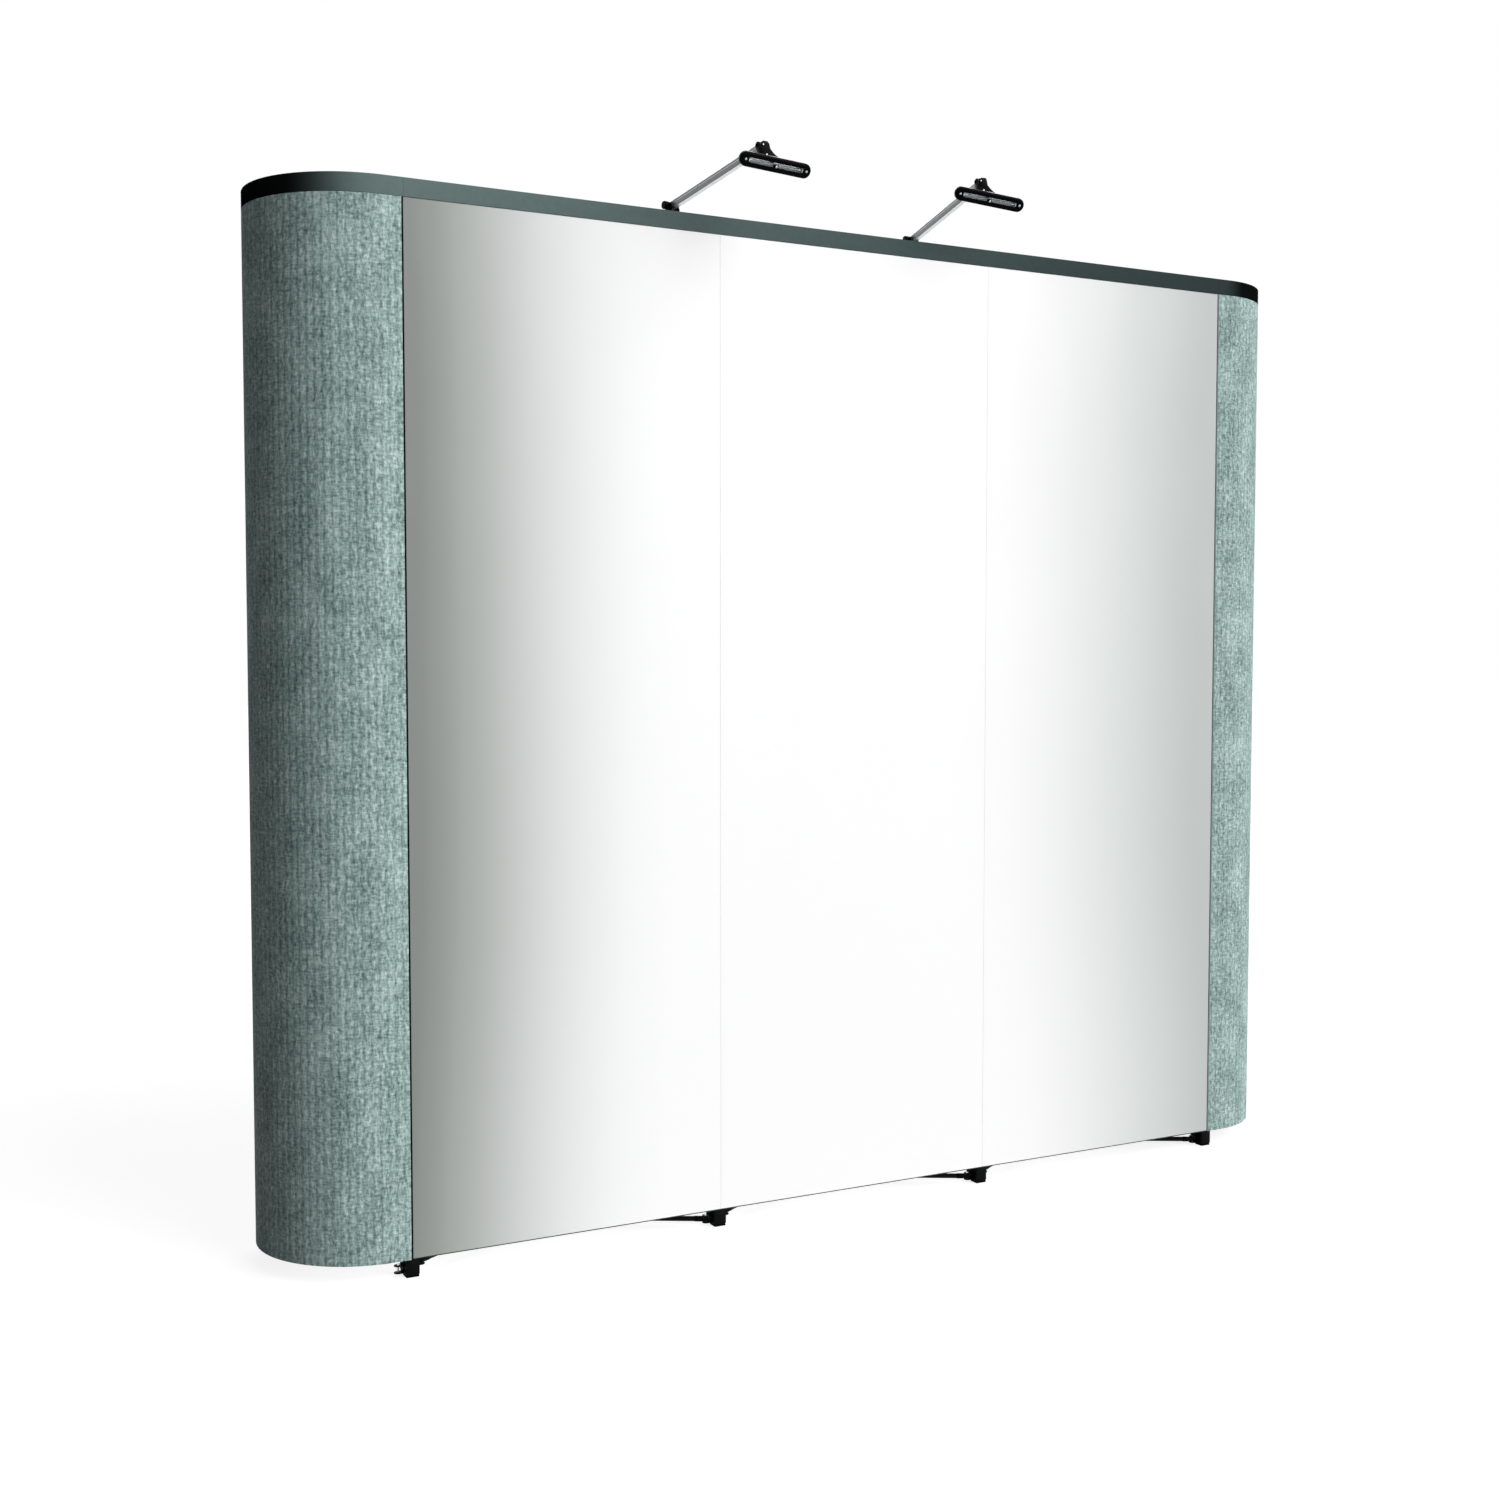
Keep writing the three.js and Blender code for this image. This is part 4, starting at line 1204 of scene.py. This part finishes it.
def fin_seat():
    """The upper and the lower end of the fin's seat on the back of the head."""
    outward = Vector((-math.cos(HEAD_AIM), -math.sin(HEAD_AIM)))
    course = Vector((-math.sin(HEAD_AIM), math.cos(HEAD_AIM)))
    seat = Vector((-HEAD_FORWARD, -HEAD_DOWN)) - outward * (HEAD_SIZE.z / 2 + SEAT_GAP)
    return [tuple(seat + course * FIN_SEAT_HALF), tuple(seat - course * FIN_SEAT_HALF)]


def fin_web(shape, left):
    """The web that crosses in front of the tip of the arm, hollow along its sloping edge."""
    slope = []
    for step in range(WEB_STEPS, -1, -1):
        share = step / WEB_STEPS
        slope.append(tuple(WEB_NECK.lerp(WEB_FOOT, share) + WEB_SAG * math.sin(math.pi * share)))
    outline = [(left, WEB_LOW), (WEB_FOOT.x, WEB_LOW)] + slope + [(WEB_TOP_REACH, WEB_TOP), (left, WEB_TOP)]
    front = -WEB_SET - WEB_THICKNESS
    shape.prism(outline, front, -WEB_SET, "y", WEB_BEVEL)
    for x, z, radius in WEB_SCREWS:
        screw(shape, (x, front, z), (0, -1, 0), radius, 1)


def add_fin(number, place, roll):
    """The fin beside the tip of the arm, with its web, a cap screw and a nut."""
    corner = ARM_HEIGHT / 2 - FIN_CORNER_INSET
    near = -(ARM_WIDTH / 2 + SEAT_GAP + corner * math.sin(roll)) / math.cos(roll)
    far = near - FIN_THICKNESS
    shape = Shape()
    shape.prism(arc((0, 0), FIN_RADIUS, -45, 135, 12) + fin_seat(), far, near, "x", FIN_BEVEL)
    screw(shape, (far, 0, 0), (-1, 0, 0), FIN_SCREW, 0)
    fin_web(shape, far + WEB_INSET)
    shape.turned(NUT, (ARM_WIDTH / 2 + SEAT_GAP, 0, 0), (1, 0, 0), 6)
    make_piece(f"lamp_bracket_{number}", shape, [GLOSS, STEEL], f"lamp_{number}_head",
               [f"lamp_fin_{number}"], place)


def head_ring(length, width, radius, height):
    """A level rectangle with round corners, and with round ends where no radius is given."""
    radius = radius or width / 2
    reach = length / 2 - radius
    ring = []
    for side in (1, -1):
        for i in range(HEAD_STEPS + 1):
            half_way = (i > HEAD_STEPS / 2) - (i < HEAD_STEPS / 2)
            angle = (i / HEAD_STEPS - 0.5) * math.pi
            y = (width / 2 - radius) * half_way + radius * math.sin(angle)
            ring.append((side * (reach + radius * math.cos(angle)), side * y, height))
    return ring


def pod_rings():
    """The rings of the pod, from its flat back over the dome and the rim into the mouth."""
    half = HEAD_SIZE.z / 2
    rings = [head_ring(HEAD_BACK.x * HEAD_BACK_SHARES[0], HEAD_BACK.y * HEAD_BACK_SHARES[1], None, -half)]
    for step in range(DOME_STEPS + 1):
        angle = math.pi / 2 * (1 - step / DOME_STEPS)
        length, width = HEAD_BACK + (HEAD_SIZE.xy - HEAD_BACK) * math.cos(angle)
        height = half - HEAD_SIDE - (HEAD_SIZE.z - HEAD_SIDE) * math.sin(angle)
        rings.append(head_ring(length, width, None, height))
    for step in range(RIM_STEPS + 1):
        angle = math.pi / 2 * step / RIM_STEPS
        inset = 2 * HEAD_BEVEL * (1 - math.cos(angle))
        height = half - HEAD_BEVEL * (1 - math.sin(angle))
        rings.append(head_ring(HEAD_SIZE.x - inset, HEAD_SIZE.y - inset, None, height))
    lip = (TROUGH_SIZE.x + LIP_STEP, TROUGH_SIZE.y - LIP_STEP, LIP_RADIUS)
    mouth = (TROUGH_SIZE.x - LIP_STEP, TROUGH_SIZE.y - 2 * BEZEL_LIP, MOUTH_RADIUS)
    bore = (TROUGH_SIZE.x, TROUGH_SIZE.y, BORE_RADIUS)
    rings.append(head_ring(*lip, half - LIP_SINK))
    rings.append(head_ring(*mouth, half - MOUTH_SINK))
    rings.append(head_ring(*mouth, half - BEZEL_DEPTH))
    rings.append(head_ring(*bore, half - BEZEL_DEPTH))
    rings.append(head_ring(*bore, half - TROUGH_SIZE.z))
    return rings


def add_housing(number, place):
    """A smooth pod with a long mouth, a bezel round it, a screw at each end and the gland."""
    half = HEAD_SIZE.z / 2
    shape = Shape()
    shape.add(joined_rings(pod_rings()))
    reach = TROUGH_SIZE.x / 2 + HEAD_SCREW_REACH
    for x in (-reach, reach):
        screw(shape, (x, 0, half - HEAD_SCREW_SINK), (0, 0, 1), HEAD_SCREW, 1)
    shape.turned(GLAND, (-GLAND_SHARE * HEAD_SIZE.x / 2, 0, -half), (0, 0, -1), 20)
    make_piece(f"lamp_pod_{number}", shape, [GLOSS, STEEL], f"lamp_{number}_head",
               [f"lamp_housing_{number}"], place)


def mirror_clip(shape, edge, top):
    """A spring clip over the lower edge of the trough, with a small rivet."""
    front = HEAD_SIZE.z / 2
    low = (-CLIP_HALF, edge - CLIP_PROUD, top - CLIP_DROP)
    shape.block(low, (CLIP_HALF, edge + CLIP_REACH, front + CLIP_PROUD), CLIP_BEVEL, 2, 2)
    shape.turned(CLIP_RIVET, (0, edge + CLIP_RIVET_INSET, front + CLIP_RIVET_SEAT), (0, 0, 1), 18, 1)


def add_reflector(number, place):
    """A bright trough with closed ends, and a clip at the middle of its lower edge."""
    radius = TROUGH_SIZE.y / 2 - SEAT_GAP
    top = HEAD_SIZE.z / 2 - BEZEL_DEPTH - MIRROR_SINK
    middle = (0, HEAD_SIZE.z / 2 - TROUGH_SIZE.z + SEAT_GAP + radius)
    reach = TROUGH_SIZE.x / 2 - SEAT_GAP
    bore = radius - MIRROR_WALL
    outer = [(radius, top)] + arc(middle, radius, 360, 180, 16) + [(-radius, top)]
    inner = [(-bore, top)] + arc(middle, bore, 180, 360, 16) + [(bore, top)]
    shape = Shape()
    shape.prism(outer + inner, -reach, reach, "x")
    edge = radius - MIRROR_SINK
    end = arc(middle, edge, 180, 360, 16) + [(edge, top), (-edge, top)]
    for side in (-1, 1):
        shape.prism(end, side * (reach - MIRROR_END), side * reach, "x")
    mirror_clip(shape, -radius, top)
    make_piece(f"lamp_trough_{number}", shape, [MIRROR, STEEL, GLOSS], f"lamp_{number}_head",
               [f"lamp_reflector_{number}"], place)


def add_bulb(number, place):
    """A straight tube with a steel cap on both ends."""
    half = TROUGH_SIZE.x / 2 - 2 * SEAT_GAP - MIRROR_END
    height = HEAD_SIZE.z / 2 - TROUGH_SIZE.z + TROUGH_SIZE.y / 2
    shape = Shape()
    for side in (-1, 1):
        shape.turned(BULB_END, (side * half, 0, height), (-side, 0, 0), 20, 1)
    glass = rod(GLASS_RADIUS, 0, 2 * (half - BULB_CAP), GLASS_EDGE, GLASS_EDGE)
    shape.turned(glass, (BULB_CAP - half, 0, height), (1, 0, 0), 20)
    make_piece(f"lamp_bulb_{number}", shape, [GLASS, STEEL], f"lamp_{number}_head",
               [f"lamp_tube_{number}"], place)


def add_lamp(number):
    """The knuckle, the arm and the fin are made round the joint they turn on, and the head
    round its own middle. Each is then put where it stands at rest."""
    setting = LAMPS[number]
    base = Vector(JOINTS[f"lamp_{number}_swivel"]["pos_m"])
    tip = Vector(JOINTS[f"lamp_{number}_tilt"]["pos_m"])
    yaw = turn(setting["yaw"], "Z")
    lift = turn(-setting["lift"], "X")
    level = turn(setting["lift"], "X")
    roll = turn(setting["roll"], "Y")
    swung = Matrix.Translation(base) @ yaw
    hung = Matrix.Translation(tip) @ (yaw @ lift @ roll @ level)
    aim = Matrix.Rotation(math.pi / 2 + HEAD_AIM, 4, "X")
    head = hung @ Matrix.Translation((0, -HEAD_FORWARD, -HEAD_DOWN)) @ aim
    add_rail(number, base, base.z - KNUCKLE_DROP - KNUCKLE_DISC - SEAT_GAP)
    add_knuckle(number, swung)
    add_arm(number, swung @ lift)
    add_fin(number, hung, math.radians(setting["roll"]))
    add_housing(number, head)
    add_reflector(number, head)
    add_bulb(number, head)


# All the pieces

ENDS = {"left": -1, "right": 1}

for name, side in ENDS.items():
    add_end_core(name, side)
    add_end_fabric(name, side)
add_straight_header()
for name, side in ENDS.items():
    add_bent_header(name, side)
for column in range(MURAL_COUNT + 1):
    for starts_rear in (False, True):
        add_chain(column, starts_rear)
for level in range(ROWS + 1):
    for bay in range(MURAL_COUNT):
        for front_on_left in (True, False):
            add_level_tube(level, bay, front_on_left)
for number in LAMPS:
    add_lamp(number)


# The floor and the world

def pick_seen(tree, unseen, seen, output):
    """Shows the second shader to rays from the camera, off gloss or through glass."""
    path = add_node(tree, "ShaderNodeLightPath", {})
    share = path.outputs["Is Camera Ray"]
    for name in ("Is Glossy Ray", "Is Transmission Ray"):
        most = add_node(tree, "ShaderNodeMath", {0: share, 1: path.outputs[name]})
        most.operation = "MAXIMUM"
        share = most.outputs[0]
    pick = add_node(tree, "ShaderNodeMixShader", {0: share, 1: unseen.outputs[0], 2: seen.outputs[0]})
    add_node(tree, output, {0: pick.outputs[0]})


def white_floor():
    """A pale floor that reads as white to the camera and keeps a soft shadow."""
    corners = [(x * FLOOR_HALF, y * FLOOR_HALF, 0) for x, y in ((-1, -1), (1, -1), (1, 1), (-1, 1))]
    mesh = bpy.data.meshes.new("floor")
    mesh.from_pydata(corners, [], [(0, 1, 2, 3)])
    floor = bpy.data.objects.new("floor", mesh)
    bpy.context.scene.collection.objects.link(floor)
    material = bpy.data.materials.new("floor_white")
    material.use_nodes = True
    tree = material.node_tree
    tree.nodes.clear()
    pale = add_node(tree, "ShaderNodeBsdfDiffuse", {"Color": FLOOR_SHADE})
    seen = add_node(tree, "ShaderNodeBsdfDiffuse", {"Color": FLOOR_SEEN})
    glow = add_node(tree, "ShaderNodeEmission", {"Strength": FLOOR_GLOW})
    bright = add_node(tree, "ShaderNodeAddShader", {0: seen.outputs[0], 1: glow.outputs[0]})
    pick_seen(tree, pale, bright, "ShaderNodeOutputMaterial")
    mesh.materials.append(material)


def white_world():
    """White to the camera, and only a faint light on the object."""
    world = bpy.data.worlds.new("studio")
    world.use_nodes = True
    tree = world.node_tree
    tree.nodes.clear()
    faint = add_node(tree, "ShaderNodeBackground", {"Color": WHITE, "Strength": WORLD_LIGHT})
    white = add_node(tree, "ShaderNodeBackground", {"Color": WHITE, "Strength": WORLD_SEEN})
    pick_seen(tree, faint, white, "ShaderNodeOutputWorld")
    bpy.context.scene.world = world


# The light and the camera

def add_lights():
    """Soft suns. The azimuth turns to the right from straight in front."""
    for name, setting in LIGHTS.items():
        lamp = bpy.data.lights.new(name, "SUN")
        lamp.energy = setting["strength"]
        lamp.angle = math.radians(setting["softness"])
        light = bpy.data.objects.new(name, lamp)
        bpy.context.scene.collection.objects.link(light)
        light.rotation_euler = (math.radians(90 - setting["height"]), 0, math.radians(setting["azimuth"]))


def add_camera():
    """The camera stands by its distance from the lower left corner of the murals."""
    lens = bpy.data.cameras.new("camera")
    lens.sensor_width = SENSOR
    lens.lens = SENSOR * FOCAL_SHARE
    camera = bpy.data.objects.new("camera", lens)
    bpy.context.scene.collection.objects.link(camera)
    corner = Vector((LEFT, SEAT - MURAL_THICKNESS, PANEL_LOW))
    camera.location = corner + CAMERA_FROM_CORNER
    camera.rotation_euler = (math.radians(90 + CAMERA_PITCH), 0, math.radians(-CAMERA_YAW))
    bpy.context.scene.camera = camera


white_floor()
white_world()
add_lights()
add_camera()
bpy.context.scene.view_settings.view_transform = "Standard"
